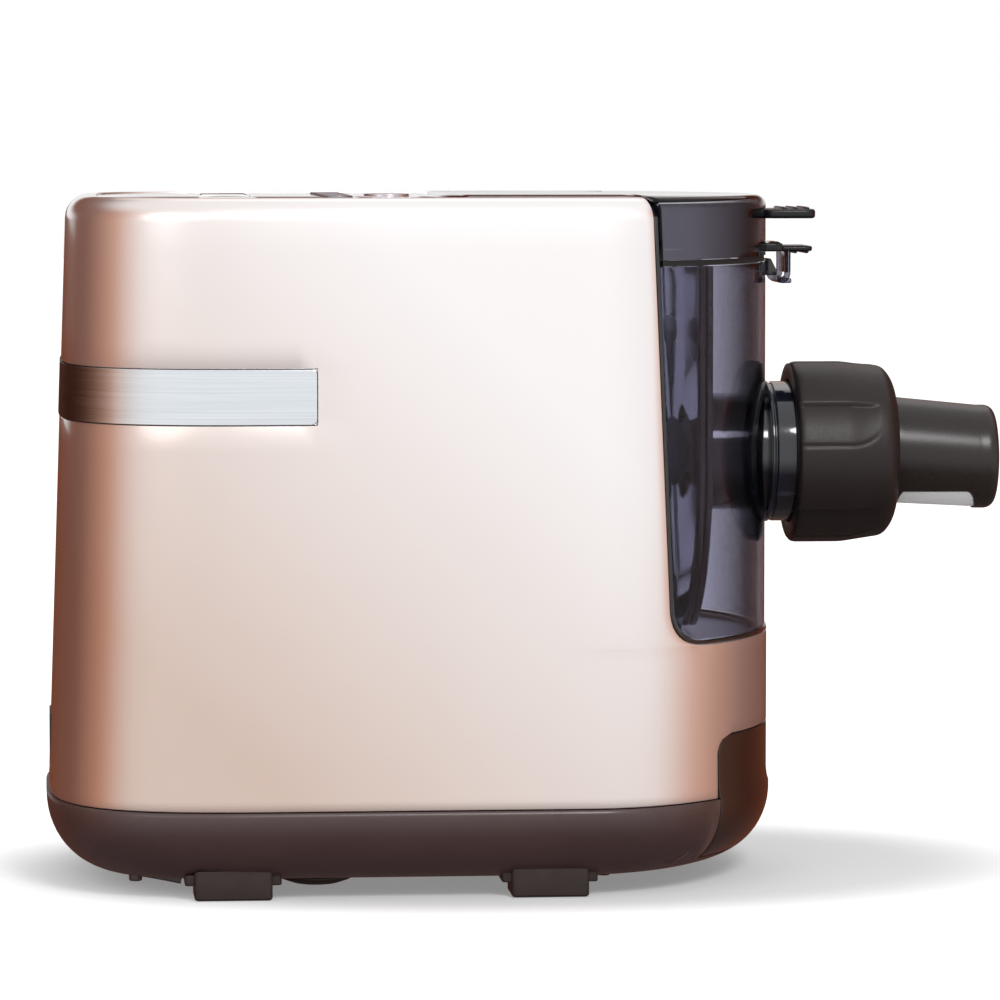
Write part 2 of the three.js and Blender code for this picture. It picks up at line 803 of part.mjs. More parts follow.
function gearboxHousing() {
  const pedestal = box(
    caseRearX, caseFrontX, -pedestalHalfWidth, pedestalHalfWidth, floorZ + gap, caseBottomZ,
  );
  const pedestalCut = box(
    caseRearX + wall, caseFrontX + overrun, -pedestalHalfWidth + wall, pedestalHalfWidth - wall,
    0, caseBottomZ - caseBottomRadius - wall,
  );
  return alongX(pearOutline(0), caseRearX, caseFrontX)
    .add(pedestal)
    .subtract(pedestalCut)
    .subtract(alongX(pearOutline(wall), caseRearX + wall, caseFrontX + overrun))
    .subtract(rodX(shaftRadius + gap, caseRearX - overrun, caseRearX + 2 * wall, 0, axisZ))
    .subtract(rodX(idlerPinRadius + gap, caseRearX - overrun, caseRearX + 2 * wall, 0, idlerZ))
    .subtract(rodX(rotorShaftRadius + gap, caseRearX - overrun, caseRearX + 2 * wall, 0, motorZ));
}

function gearboxCover() {
  const low = caseFrontX + gap;
  const high = low + caseCoverThickness;
  return alongX(pearOutline(0), low, high)
    .subtract(rodX(bearingRadius + gap, low - overrun, high + overrun, 0, axisZ))
    .subtract(rodX(idlerPinRadius + gap, low - overrun, high + overrun, 0, idlerZ));
}

function outputBearing() {
  const low = caseFrontX + gap;
  return ringX(bearingRadius, shaftRadius + gap, low, low + caseCoverThickness, axisZ);
}

// Motor: a can closed by an end cap, its rotor, pinion and fan, and the cradle under it
const canWall = 2;
const canFrontX = caseRearX - gap;
const canRearX = rearX + motorRearSpace;
const endCapThickness = 3;
const armatureRadius = 24;
const armatureMargin = 8;
const fanRadius = 28;
const fanHubRadius = 8;
const fanBlades = 5;
const fanLength = 8;
const fanBladeThickness = 1.8;
const fanTilt = Math.PI / 5;
const cradleHalfWidth = 25;
const cradleLength = 20;

function motorCan() {
  return rodX(motorRadius, canRearX, canFrontX, 0, motorZ, fineSides)
    .subtract(rodX(motorRadius - canWall, canRearX - overrun, canFrontX - canWall, 0, motorZ, fineSides))
    .subtract(rodX(rotorShaftRadius + seat, canFrontX - 2 * canWall, far, 0, motorZ));
}

function motorEndCap() {
  return ringX(motorRadius, rotorShaftRadius + gap, canRearX - gap - endCapThickness, canRearX - gap, motorZ);
}

function motorRotor() {
  const shaft = rodX(
    rotorShaftRadius, canRearX - endCapThickness - fanLength - 2 * canWall, stageOneX + stageOneFace + canWall,
    0, motorZ,
  );
  const armature = rodX(
    armatureRadius, canRearX + armatureMargin, canFrontX - armatureMargin, 0, motorZ, fineSides,
  );
  return shaft.add(armature);
}

function coolingFan() {
  const high = canRearX - gap - endCapThickness - canWall;
  const low = high - fanLength;
  let fan = rodX(fanHubRadius, low, high, 0, motorZ);
  for (let i = 0; i < fanBlades; i++) {
    const length = fanRadius - fanHubRadius / 2;
    const blade = new THREE.BoxGeometry(fanBladeThickness, fanLength, length);
    blade.rotateZ(fanTilt);
    blade.translate(0, 0, fanHubRadius / 2 + length / 2);
    blade.rotateX((i * 2 * Math.PI) / fanBlades);
    blade.translate((low + high) / 2, 0, motorZ);
    fan = fan.add(solidFrom(blade));
  }
  return fan.subtract(rodX(rotorShaftRadius + gap, low - overrun, high + overrun, 0, motorZ));
}

function motorCradle() {
  const middle = (canRearX + canFrontX) / 2;
  return box(
    middle - cradleLength / 2, middle + cradleLength / 2, -cradleHalfWidth, cradleHalfWidth,
    floorZ + gap, motorZ - motorRadius / 2,
  ).subtract(rodX(motorRadius + gap, -far, far, 0, motorZ, fineSides));
}

// Power inlet and power board
const pinWidth = 2;
const pinHeight = 5;
const pinDrop = 1;
const pinPitch = 7;
const powerBoardInset = 24;
const powerBoardX = rearX + powerBoardInset;
const powerBoardLength = 30;
const powerBoardHalfWidth = 34;
const powerBoardRise = 5;
const powerBoardZ = floorZ + powerBoardRise;
const capRadius = 7;
const capHeight = 12;
const chokeSize = 18;

function powerInlet() {
  const flangeX = rearX + inletSink;
  const low = inletLowZ;
  const high = inletLowZ + inletHeight;
  const middle = (low + high) / 2;
  let inlet = box(
    flangeX, flangeX + inletDepth, -inletHalfWidth, inletHalfWidth, low, high,
  ).add(box(
    flangeX, flangeX + inletSkin,
    -inletHalfWidth - inletFlange, inletHalfWidth + inletFlange, low - inletFlange, high + inletFlange,
  ));
  inlet = inlet.subtract(box(
    flangeX - overrun, flangeX + inletDepth - inletRim,
    -inletHalfWidth + inletRim, inletHalfWidth - inletRim, low + inletRim, high - inletRim,
  ));
  for (const index of [-1, 0, 1]) {
    const y = index * pinPitch;
    inlet = inlet.add(box(
      flangeX + 2 * inletRim, flangeX + inletDepth - inletRim / 2,
      y - pinWidth / 2, y + pinWidth / 2, middle - pinDrop - pinHeight, middle - pinDrop,
    ));
  }
  return inlet;
}

function powerBoard() {
  const high = powerBoardX + powerBoardLength;
  let board = box(
    powerBoardX, high, -powerBoardHalfWidth, powerBoardHalfWidth, powerBoardZ, powerBoardZ + boardThickness,
  );
  for (const x of [powerBoardX + postInset, high - postInset]) {
    for (const side of [-1, 1]) {
      const y = side * (powerBoardHalfWidth - postInset);
      board = board.add(rodZ(postRadius, floorZ + gap, powerBoardZ + gap, x, y, smallSides));
    }
  }
  const top = powerBoardZ + boardThickness;
  const capacitor = rodZ(capRadius, top - gap, top + capHeight, high - capRadius - boardThickness, 0);
  const choke = box(
    powerBoardX + postInset, powerBoardX + postInset + chokeSize,
    -chokeSize, -chokeSize / 4, top - gap, top + chokeSize / 2,
  );
  return joined(board, capacitor, choke);
}

// Mixing tub: a trough open at the top and front, with a rim, a rear wall and a front flange
const rimThickness = 2.5;
const sealHeight = 2.1;
const sealWidth = 2;
const sealRest = 0.4;
const rimTopZ = lidSeamZ - sealHeight - gap - sealRest;
const tubLedgeX = hingeX + hingeRadius / 2;
const flangeReach = 5.5;
const couplingRadius = 9;

function troughOutline(radius, topZ) {
  const shape = new THREE.Shape();
  shape.moveTo(radius, topZ);
  shape.lineTo(-radius, topZ);
  shape.lineTo(-radius, axisZ);
  shape.absarc(0, axisZ, radius, Math.PI, 2 * Math.PI, false);
  shape.closePath();
  return shape;
}

// Plan of the lid: a wide nose in front of the window edge and a narrower tail between the walls
function lidPlan(wideLevels, tailLevels, inset, rearEdge) {
  const low = wideLevels[0][0];
  const edge = windowLowX - windowSlope * (low - windowCornerZ) + gap + rimWidth + 2 * seat + inset;
  const wide = bodyLoft(wideLevels).intersect(box(edge, far, -far, far, 0, far));
  const tail = bodyLoft(tailLevels.map(([level, taper]) => [level, topOpeningInset + seat + inset + taper]));
  return wide.add(tail.intersect(box(rearEdge, far, -far, far, 0, far)));
}

function lidBlock(low, high, inset, rearEdge) {
  const wideLevels = roundedLevels(low, high, coverInset + inset, lidEdgeRadius);
  return lidPlan(wideLevels, [[low, lidTailTaper], [high, 0]], inset, rearEdge);
}

function coverClear(low, high) {
  const inset = coverInset + coverWall + gap;
  return bodyLoft([[low, inset], [high, inset]]);
}

function cupTub() {
  const low = bulkheadFrontX + gap;
  const trough = alongX(troughOutline(tubRadius + tubWall, rimTopZ), low, tubFrontX);
  const tail = bodyLoft([
    [rimTopZ - rimThickness, topOpeningInset + seat],
    [rimTopZ, topOpeningInset + seat],
  ]).intersect(box(low, tubFrontX, -far, far, 0, far));
  const lowZ = windowBottomZ + rimWidth + seat;
  const flange = alongX(
    troughOutline(tubRadius + tubWall + flangeReach, rimTopZ), tubFrontX - tubWall, tubFrontX,
  ).intersect(box(-far, far, -far, far, lowZ, far));
  const hollow = alongX(
    troughOutline(tubRadius, rimTopZ - rimThickness), low + tubWall, tubFrontX + overrun,
  );
  const mouth = alongX(troughOutline(tubRadius, rimTopZ + overrun), tubLedgeX, tubFrontX + overrun);
  return joined(trough, tail, flange)
    .intersect(coverClear(lowZ - overrun, lidSeamZ))
    .subtract(hollow)
    .subtract(mouth)
    .subtract(rodX(couplingRadius + seat, low - overrun, low + 2 * tubWall, 0, axisZ));
}

// Front cover: the smoky nose between the window edges, with the nozzle hole
function frontCover() {
  const edge = gap + rimWidth + seat;
  const outer = bodyLoft([[windowBottomZ, coverInset], [rimTopZ, coverInset]]);
  const inner = bodyLoft([
    [windowBottomZ - overrun, coverInset + coverWall],
    [rimTopZ + overrun, coverInset + coverWall],
  ]);
  return outer
    .subtract(inner)
    .intersect(acrossBody(windowOutline(edge), far))
    .subtract(rodX(barrelRadius + gap, 0, far, 0, axisZ, fineSides));
}

// Extrusion barrel with the plate that closes the front of the tub
const plateX = tubFrontX + gap;
const plateThickness = 2.5;
const collarRearX = lidFrontX + gap;
const nutRearX = shellNoseX + collarShow;
const nutLip = 5;
const nutFrontX = nutRearX + nutLength;
const spoutFlange = 3.2;
const spoutFlangeX = nutFrontX - nutLip - gap - spoutFlange;
const dieThickness = 5;
const dieX = spoutFlangeX - gap - dieThickness;
const barrelEndX = dieX - gap;

function extrusionBarrel() {
  const lowZ = windowBottomZ + rimWidth + seat;
  const plate = alongX(
    troughOutline(tubRadius + tubWall + flangeReach, rimTopZ), plateX, plateX + plateThickness,
  ).intersect(box(-far, far, -far, far, lowZ, far))
    .intersect(coverClear(lowZ - overrun, lidSeamZ));
  return plate
    .add(rodX(barrelRadius, plateX, barrelEndX, 0, axisZ, fineSides))
    .subtract(rodX(barrelBore, plateX - overrun, barrelEndX + overrun, 0, axisZ, fineSides));
}

function outletCollar() {
  return ringX(collarRadius, barrelRadius + gap, collarRearX, barrelEndX, axisZ);
}

// Shaping die with a ring of strand holes
const dieRadius = 27;
const dieHoleRadius = 2.2;
const dieHoleCircle = 10;
const dieHoles = 6;

function shapingDie() {
  let die = rodX(dieRadius, dieX, dieX + dieThickness, 0, axisZ, fineSides);
  for (let i = 0; i < dieHoles; i++) {
    const angle = (i * 2 * Math.PI) / dieHoles;
    die = die.subtract(rodX(
      dieHoleRadius, dieX - overrun, dieX + dieThickness + overrun,
      dieHoleCircle * Math.sin(angle), axisZ + dieHoleCircle * Math.cos(angle), smallSides,
    ));
  }
  return die;
}

// Retaining nut: a fluted ring that draws the spout and die off the barrel
const nutFrontRadius = 34;
const nutShoulderRadius = 27.5;
const nutRearEdge = 1.2;
const nutShoulder = 4.2;
const fluteCount = 5;
const fluteRadius = 15;
const fluteDepth = 1.7;
const fluteTurn = (Math.PI * 69) / 180;
const fluteFrontMargin = 8;
const fluteRunOut = 9;

function retainingNut() {
  let nut = turnedX([
    [nutRearX, collarRadius + seat],
    [nutRearX, nutRadius - nutRearEdge],
    [nutRearX + nutRearEdge, nutRadius],
    [nutRearX + nutLength / 2, nutRadius],
    [nutFrontX - nutShoulder, nutFrontRadius],
    [nutFrontX - nutShoulder / 3, (nutFrontRadius + nutShoulderRadius) / 2],
    [nutFrontX, nutShoulderRadius],
    [nutFrontX, spoutRadius + seat],
    [nutFrontX - nutLip, spoutRadius + seat],
    [nutFrontX - nutLip, collarRadius + seat],
    [nutRearX, collarRadius + seat],
  ], 0, axisZ, fineSides + fineSides / 2);
  const fluteEndX = nutFrontX - fluteFrontMargin;
  const circle = nutRadius + fluteRadius - fluteDepth;
  const cutter = turnedX([
    [nutRearX - overrun, 0], [nutRearX - overrun, fluteRadius], [fluteEndX - fluteRunOut, fluteRadius],
    [fluteEndX, fluteRadius - fluteDepth], [fluteEndX, 0],
  ], 0, 0);
  for (let i = 0; i < fluteCount; i++) {
    const angle = fluteTurn + (i * 2 * Math.PI) / fluteCount;
    nut = nut.subtract(cutter.translate([0, -circle * Math.sin(angle), axisZ + circle * Math.cos(angle)]));
  }
  return nut;
}

// Spout: a tapered tube that dips slightly, cut away below over a pale sleeve
const spoutTipRadius = 20.8;
const spoutDip = 2.6;
const spoutLip = 7;
const spoutRimRadius = 18.4;
const spoutWall = 3.2;
const spoutCutDepth = 16.2;
const spoutCutMargin = 1.5;
const lipLength = 8;
const sleeveWall = 2.2;

function tubeLoft(stations) {
  const rings = stations.map(([x, radius, drop]) => {
    const points = [];
    for (let i = 0; i < fineSides; i++) {
      const angle = (i * 2 * Math.PI) / fineSides;
      points.push(new THREE.Vector2(radius * Math.cos(angle), radius * Math.sin(angle) - drop));
    }
    return { level: x, points };
  });
  const turned = new THREE.Matrix4().makeBasis(unitY, unitZ, unitX);
  return loftTurned(rings, turned);
}

function loftTurned(rings, basis) {
  const made = loft(rings).getMesh();
  const geometry = new THREE.BufferGeometry();
  geometry.setAttribute("position", new THREE.BufferAttribute(made.vertProperties, 3));
  geometry.setIndex(new THREE.BufferAttribute(made.triVerts, 1));
  geometry.applyMatrix4(basis);
  return solidFrom(geometry).translate([0, 0, axisZ]);
}

function spoutStations(inset, rearX0, overshoot) {
  return [
    [rearX0, spoutRadius - inset, 0],
    [nutFrontX, spoutRadius - inset, 0],
    [spoutEndX - spoutLip, spoutTipRadius - inset, spoutDip],
    [spoutEndX - spoutLip / 4, (spoutTipRadius + spoutRimRadius) / 2 - inset + spoutWall / 5, spoutDip],
    [spoutEndX + overshoot, spoutRimRadius - inset, spoutDip],
  ];
}

function spoutCut(margin) {
  return box(
    nutFrontX + spoutCutMargin + margin, spoutEndX - lipLength - margin,
    -far, far, 0, axisZ - spoutCutDepth - margin,
  );
}

function spoutCover() {
  return tubeLoft(spoutStations(0, spoutFlangeX, 0))
    .add(rodX(dieRadius, spoutFlangeX, spoutFlangeX + spoutFlange, 0, axisZ, fineSides))
    .subtract(tubeLoft(spoutStations(spoutWall, spoutFlangeX - overrun, overrun)))
    .subtract(spoutCut(0));
}

function spoutSleeve() {
  const outer = spoutStations(spoutWall + gap, spoutFlangeX + gap, -2 * gap);
  const inner = spoutStations(spoutWall + gap + sleeveWall, spoutFlangeX - overrun, overrun);
  const insert = tubeLoft(spoutStations(gap, spoutFlangeX, 0)).intersect(spoutCut(gap));
  return tubeLoft(outer).add(insert).subtract(tubeLoft(inner));
}

// Rotating drive: shaft, coupling, mixing paddle and extrusion screw
const shaftRearX = caseRearX + canWall;
const shaftNose = 4;
const shaftFrontX = plateX + plateThickness + shaftNose;
const couplingSink = 1;
const couplingX = bulkheadX + couplingSink;
const couplingLength = 8;
const hubX = couplingX + couplingLength + gap;
const hubEndX = plateX + gap;
const hubRadius = 13;
const domeRadius = 17;
const domeLength = 15;
const barClearance = 15;
const barCircle = tubRadius - barClearance;
const barRadius = 6;
const barMargin = 2.5;
const barTipShare = 0.7;
const barSetback = 5.7;
const barRearX = hubX + barSetback;
const barFrontX = tubFrontX - barMargin;
const armWidth = 15;
const armThickness = 9;
const armRearInset = 3;
const armRearX = barRearX + armRearInset;
const armFrontInset = 11;
const armFrontX = barFrontX - armFrontInset;
const screwCore = 8;
const screwRadius = 18.2;
const screwPitch = 20;
const screwFlightShare = 0.3;
const screwStations = 22;
const screwSides = 14;

function outputShaft() {
  return rodX(shaftRadius, shaftRearX, shaftFrontX, 0, axisZ);
}

function driveCoupling() {
  return turnedX([
    [couplingX, shaftRadius + gap],
    [couplingX, couplingRadius],
    [couplingX + couplingLength, couplingRadius],
    [couplingX + couplingLength, shaftRadius + gap],
    [couplingX, shaftRadius + gap],
  ], 0, axisZ, plainSides);
}

function mixingPaddle() {
  const dome = [[hubX, 0], [hubX, hubRadius], [hubEndX - domeLength, hubRadius]];
  for (let i = 0; i <= 2 * roundSteps; i++) {
    const angle = (Math.PI / 2) * (i / (2 * roundSteps));
    const x = hubEndX - domeLength + domeLength * Math.sin(angle);
    dome.push([x, screwCore + (domeRadius - screwCore) * Math.cos(angle)]);
  }
  dome.push([hubEndX, 0]);
  let paddle = turnedX(dome, 0, axisZ, plainSides);
  for (const side of [-1, 1]) {
    const z = axisZ + side * barCircle;
    const bar = turnedX([
      [barRearX, 0], [barRearX, barRadius * barTipShare], [barRearX + barRadius / 2, barRadius],
      [barFrontX - barRadius / 2, barRadius], [barFrontX, barRadius * barTipShare], [barFrontX, 0],
    ], 0, z, smallSides);
    const low = Math.min(axisZ + side * shaftRadius * 2, z);
    const high = Math.max(axisZ + side * shaftRadius * 2, z);
    const arms = [armRearX, armFrontX].map((x) => box(
      x, x + armThickness, -armWidth / 2, armWidth / 2, low, high,
    ));
    paddle = joined(paddle, bar, ...arms);
  }
  return paddle.subtract(rodX(shaftRadius + gap, hubX - overrun, hubEndX + overrun, 0, axisZ));
}

function screwAuger() {
  const low = hubEndX + gap;
  const high = barrelEndX - gap;
  const rings = [];
  for (let s = 0; s <= screwStations; s++) {
    const x = low + ((high - low) * s) / screwStations;
    const points = [];
    for (let i = 0; i < screwSides; i++) {
      const turn = i / screwSides - (x - low) / screwPitch;
      const across = Math.abs(turn - Math.round(turn)) / (screwFlightShare / 2);
      const lift = Math.max(0, 1 - Math.max(0, across - 0.5));
      const radius = screwCore + (screwRadius - screwCore) * lift;
      const angle = (i * 2 * Math.PI) / screwSides;
      points.push(new THREE.Vector2(radius * Math.cos(angle), radius * Math.sin(angle)));
    }
    rings.push({ level: x, points });
  }
  return loftTurned(rings, frontBasis)
    .subtract(rodX(shaftRadius + gap, low - overrun, shaftFrontX + gap, 0, axisZ));
}

// Lid with its barrel hinge, finger tab and latch ears
const tabDrop = 5.9;
const tabThickness = 3.7;
const tabHighZ = bodyTopZ - tabDrop;
const tabLowZ = tabHighZ - tabThickness;
const tabReach = 19;
const tabHalfWidth = 16;
const ridgeCount = 3;
const ridgePitch = 4.5;
const ridgeRadius = 0.9;
const ridgeMargin = 2;
const ridgeEdge = 3.4;
const latchSetOut = 3.6;
const latchX = lidFrontX + latchSetOut;
const latchRise = 3.4;
const latchZ = lidSeamZ + latchRise;
const latchPinRadius = 1.3;
const latchBarrelRadius = 2.6;
const latchHalfWidth = 13.5;
const earThickness = 2.6;

function lidShell() {
  const outer = lidBlock(lidSeamZ, bodyTopZ, 0, hingeX);
  const inner = lidBlock(lidSeamZ - overrun, bodyTopZ - lidWall, lidWall, hingeX + lidWall);
  const barrel = rodY(hingeRadius, -lidTailHalf, lidTailHalf, hingeX, hingeZ, fineSides);
  const ridgeHalf = tabHalfWidth - ridgeMargin;
  let tab = box(
    lidFrontX - lidWall, lidFrontX + tabReach, -tabHalfWidth, tabHalfWidth, tabLowZ, tabHighZ,
  );
  for (let i = 0; i < ridgeCount; i++) {
    const x = lidFrontX + tabReach - ridgeEdge - ridgePitch * i;
    tab = tab.add(rodY(ridgeRadius, -ridgeHalf, ridgeHalf, x, tabHighZ, smallSides));
  }
  let lid = outer.subtract(inner).add(barrel).add(tab);
  for (const side of [-1, 1]) {
    const low = Math.min(side * (latchHalfWidth + gap), side * (latchHalfWidth + gap + earThickness));
    lid = lid.add(box(
      lidFrontX - lidWall, latchX + latchBarrelRadius, low, low + earThickness,
      latchZ - latchBarrelRadius, latchZ + latchBarrelRadius,
    ));
  }
  return lid
    .subtract(pinBore())
    .subtract(rodY(latchPinRadius + gap, -far, far, latchX, latchZ, smallSides));
}

function lidSeal() {
  const low = lidSeamZ - gap - sealHeight;
  const high = lidSeamZ - gap;
  const outer = sealPlan(low, high, seat);
  return outer.subtract(sealPlan(low - overrun, high + overrun, seat + sealWidth));
}

function sealPlan(low, high, inset) {
  const wideLevels = [[low, coverInset + inset], [high, coverInset + inset]];
  return lidPlan(wideLevels, [[low, lidTailTaper], [high, lidTailTaper]], inset, hingeX + inset);
}

// Hinge pins between the housing's bosses and the lid's barrel
function hingePin(side) {
  const inner = side * (lidTailHalf - hingePinDepth + gap);
  const outer = side * (lidTailHalf + hingePinReach);
  return rodY(hingePinRadius, Math.min(inner, outer), Math.max(inner, outer), hingeX, hingeZ, smallSides);
}

// Latch: a squeeze tab with a stirrup that hangs round the catch on the front cover
const latchTabRise = 0.8;
const latchTabThickness = 1.9;
const latchTabLowZ = lidSeamZ + latchTabRise;
const latchTabHighZ = latchTabLowZ + latchTabThickness;
const latchReach = 18;
const latchRidgeEdge = 2.25;
const legReach = 6.4;
const legX = lidFrontX + legReach;
const legThickness = 3.1;
const legDrop = 11.4;
const legBottomZ = lidSeamZ - legDrop;
const legWidth = 4;
const latchBarHeight = 2;
const catchDrop = 1.7;
const catchTopZ = lidSeamZ - catchDrop;
const catchHeight = 6.7;
const catchBottomZ = catchTopZ - catchHeight;
const catchNose = 2;
const catchReach = 4.2;
const catchHalfWidth = 8.6;

function lidLatch() {
  const ridgeHalf = latchHalfWidth - ridgeMargin;
  let latch = rodY(latchBarrelRadius, -latchHalfWidth, latchHalfWidth, latchX, latchZ)
    .add(box(
      latchX, lidFrontX + latchReach, -latchHalfWidth, latchHalfWidth, latchTabLowZ, latchTabHighZ,
    ));
  for (const side of [-1, 1]) {
    const low = Math.min(side * latchHalfWidth, side * (latchHalfWidth - legWidth));
    latch = latch.add(box(legX, legX + legThickness, low, low + legWidth, legBottomZ, latchTabHighZ));
  }
  latch = latch.add(box(
    lidFrontX + catchReach + seat, legX + legThickness, -latchHalfWidth, latchHalfWidth,
    legBottomZ, legBottomZ + latchBarHeight,
  ));
  for (let i = 0; i < ridgeCount - 1; i++) {
    const x = lidFrontX + latchReach - latchRidgeEdge - ridgePitch * i;
    latch = latch.add(rodY(ridgeRadius, -ridgeHalf, ridgeHalf, x, latchTabLowZ, smallSides));
  }
  return latch.subtract(rodY(latchPinRadius + gap, -far, far, latchX, latchZ, smallSides));
}

function latchPin() {
  const half = latchHalfWidth + gap + earThickness;
  return rodY(latchPinRadius, -half, half, latchX, latchZ, smallSides);
}

function latchCatch() {
  const rear = lidFrontX + gap;
  const front = lidFrontX + catchReach;
  const shape = new THREE.Shape();
  shape.moveTo(rear, catchBottomZ);
  shape.lineTo(front, catchBottomZ);
  shape.lineTo(front, catchBottomZ + catchNose);
  shape.lineTo(rear + catchReach / 3, catchTopZ);
  shape.lineTo(rear, catchTopZ);
  shape.closePath();
  return acrossBody(shape, catchHalfWidth);
}

// Drawer: a tray on runners behind a front that follows the body and base
const trayWall = 2;
const trayFloorZ = 14;
const trayTopZ = 54;
const runnerWidth = 12;
const runnerLength = 65;
const runnerGuide = 2.2;
const runnerGuideTopZ = 24;

function drawerFront() {
  const cut = box(
    noseCentreX, far, -drawerHalfWidth, drawerHalfWidth, drawerBottomZ, drawerTopZ,
  );
  const lower = flankLoft(drawerBottomZ - overrun, seamZ, 0);
  const upper = bodyLoft([[seamZ - gap, 0], [drawerTopZ + overrun, 0]]);
  const lowerInner = flankLoft(floorZ, seamZ + gap, wall);
  const upperInner = bodyLoft([[seamZ, wall], [drawerTopZ + 2 * overrun, wall]]);
  return lower.add(upper).subtract(lowerInner.add(upperInner)).intersect(cut);
}

function trayLoft(thickness, low) {
  return flankLoft(low, drawerTopZ + overrun, wall + baseOutset + gap + thickness);
}

function drawerTray() {
  const outer = trayLoft(0, trayFloorZ)
    .intersect(box(trayRearX, far, -trayHalfWidth, trayHalfWidth, trayFloorZ, trayTopZ));
  const inner = trayLoft(trayWall, trayFloorZ).intersect(box(
    trayRearX + trayWall, far, -trayHalfWidth + trayWall, trayHalfWidth - trayWall,
    trayFloorZ + trayWall, far,
  ));
  return outer.subtract(inner);
}

function drawerRunner(side) {
  const inner = side * (trayHalfWidth - runnerWidth);
  const outer = side * (trayHalfWidth + gap + runnerGuide);
  const edge = side * (trayHalfWidth + gap);
  const frontX = trayRearX + runnerLength;
  const bed = box(
    trayRearX, frontX, Math.min(inner, outer), Math.max(inner, outer), floorZ + gap, trayFloorZ - gap,
  );
  const guide = box(
    trayRearX, frontX, Math.min(edge, outer), Math.max(edge, outer), floorZ + gap, runnerGuideTopZ,
  );
  return bed.add(guide);
}

// Fixed parts
add(machine, "housing_shell", housingShell(), champagne);
add(machine, "base_tray", baseTray(), brownGloss);
add(machine, "top_panel", topPanel(), blackGloss);
add(machine, "display_lens", displayLens(), blackGloss);
add(machine, "rear_trim_band", trimBand(), steelBrushed);
add(machine, "window_rim", windowRim(), blackGloss);
for (const [place, x] of Object.entries(footX)) {
  add(machine, "foot_" + place + "_left", foot(x, 1), rubberBlack);
  add(machine, "foot_" + place + "_right", foot(x, -1), rubberBlack);
}
add(machine, "round_pad_left", roundPad(1), rubberBlack);
add(machine, "round_pad_right", roundPad(-1), rubberBlack);
add(machine, "power_inlet", powerInlet(), darkPlastic);
add(machine, "power_board", powerBoard(), boardGreen);
add(machine, "control_board", controlBoard(), boardGreen);
add(machine, "bulkhead", bulkhead(), darkPlastic);
add(machine, "deck_plate", deckPlate(), greyPlastic);
add(machine, "gearbox_housing", gearboxHousing(), darkPlastic);
add(machine, "gearbox_cover", gearboxCover(), darkPlastic);
add(machine, "output_bearing", outputBearing(), steelPlain);
add(machine, "motor_can", motorCan(), steelPlain);
add(machine, "motor_end_cap", motorEndCap(), darkPlastic);
add(machine, "motor_cradle", motorCradle(), darkPlastic);
add(machine, "cup_tub", cupTub(), smokeClear);
add(machine, "front_cover", frontCover(), smokeClear);
add(machine, "extrusion_barrel", extrusionBarrel(), darkPlastic);
add(machine, "outlet_collar", outletCollar(), blackGloss);
add(machine, "latch_catch", latchCatch(), blackGloss);
add(machine, "hinge_pin_left", hingePin(1), steelPlain);
add(machine, "hinge_pin_right", hingePin(-1), steelPlain);
add(machine, "drawer_runner_left", drawerRunner(1), darkPlastic);
add(machine, "drawer_runner_right", drawerRunner(-1), darkPlastic);
add(machine, "idler_pin", rodX(
  idlerPinRadius, caseRearX, caseFrontX + gap + caseCoverThickness, 0, idlerZ,
), steelPlain);

// Lid and latch
const lidGroup = pivot(machine, hingeX, 0, hingeZ);
add(lidGroup, "lid", lidShell(), smokeClear);
add(lidGroup, "lid_seal", lidSeal(), rubberBlack);
add(lidGroup, "latch_pin", latchPin(), steelPlain);
const latchGroup = pivot(lidGroup, latchX, 0, latchZ);
add(latchGroup, "lid_latch", lidLatch(), blackGloss);

// Nozzle
const spoutGroup = pivot(machine, nutFrontX, 0, axisZ);
add(spoutGroup, "shaping_die", shapingDie(), whitePlastic);
add(spoutGroup, "spout_cover", spoutCover(), nutBrown);
add(spoutGroup, "spout_sleeve", spoutSleeve(), whitePlastic);
const nutGroup = pivot(spoutGroup, nutRearX, 0, axisZ);
add(nutGroup, "retaining_nut", retainingNut(), nutBrown);

// Drive train
const driveGroup = pivot(machine, shaftRearX, 0, axisZ);
add(driveGroup, "output_shaft", outputShaft(), steelPlain);
add(driveGroup, "drive_coupling", driveCoupling(), steelPlain);
add(driveGroup, "mixing_paddle", mixingPaddle(), greyPlastic);
add(driveGroup, "screw_auger", screwAuger(), greyPlastic);
add(driveGroup, "output_gear", gear(
  outputTeeth, stageTwoModule, stageTwoX, stageTwoX + stageTwoFace, axisZ, shaftRadius + gap, 0,
), whitePlastic);
const idlerGroup = pivot(machine, caseRearX, 0, idlerZ);
add(idlerGroup, "idler_gear", gear(
  idlerTeeth, stageOneModule, stageOneX, stageOneX + stageOneFace, idlerZ, idlerPinRadius + gap, 0,
), whitePlastic);
add(idlerGroup, "idler_pinion", gear(
  idlerPinionTeeth, stageTwoModule, stageOneX + stageOneFace + gap, stageTwoX + stageTwoFace,
  idlerZ, idlerPinRadius + gap, 0.5,
), steelPlain);
const motorGroup = pivot(machine, canRearX, 0, motorZ);
add(motorGroup, "motor_rotor", motorRotor(), steelPlain);
add(motorGroup, "motor_pinion", gear(
  motorTeeth, stageOneModule, stageOneX, stageOneX + stageOneFace, motorZ, rotorShaftRadius + gap, 0,
), steelPlain);
add(motorGroup, "cooling_fan", coolingFan(), darkPlastic);

// Drawer
const drawerGroup = pivot(machine, noseX, 0, drawerBottomZ);
add(drawerGroup, "drawer_front", drawerFront(), brownGloss);
add(drawerGroup, "drawer_tray", drawerTray(), darkPlastic);

// Keys
for (const place of [startPlace, ...keyPlaces]) {
  const keyGroup = pivot(machine, place.x, place.y, panelTopZ);
  add(keyGroup, place.name, key(place), blackGloss);
}

export default machine;
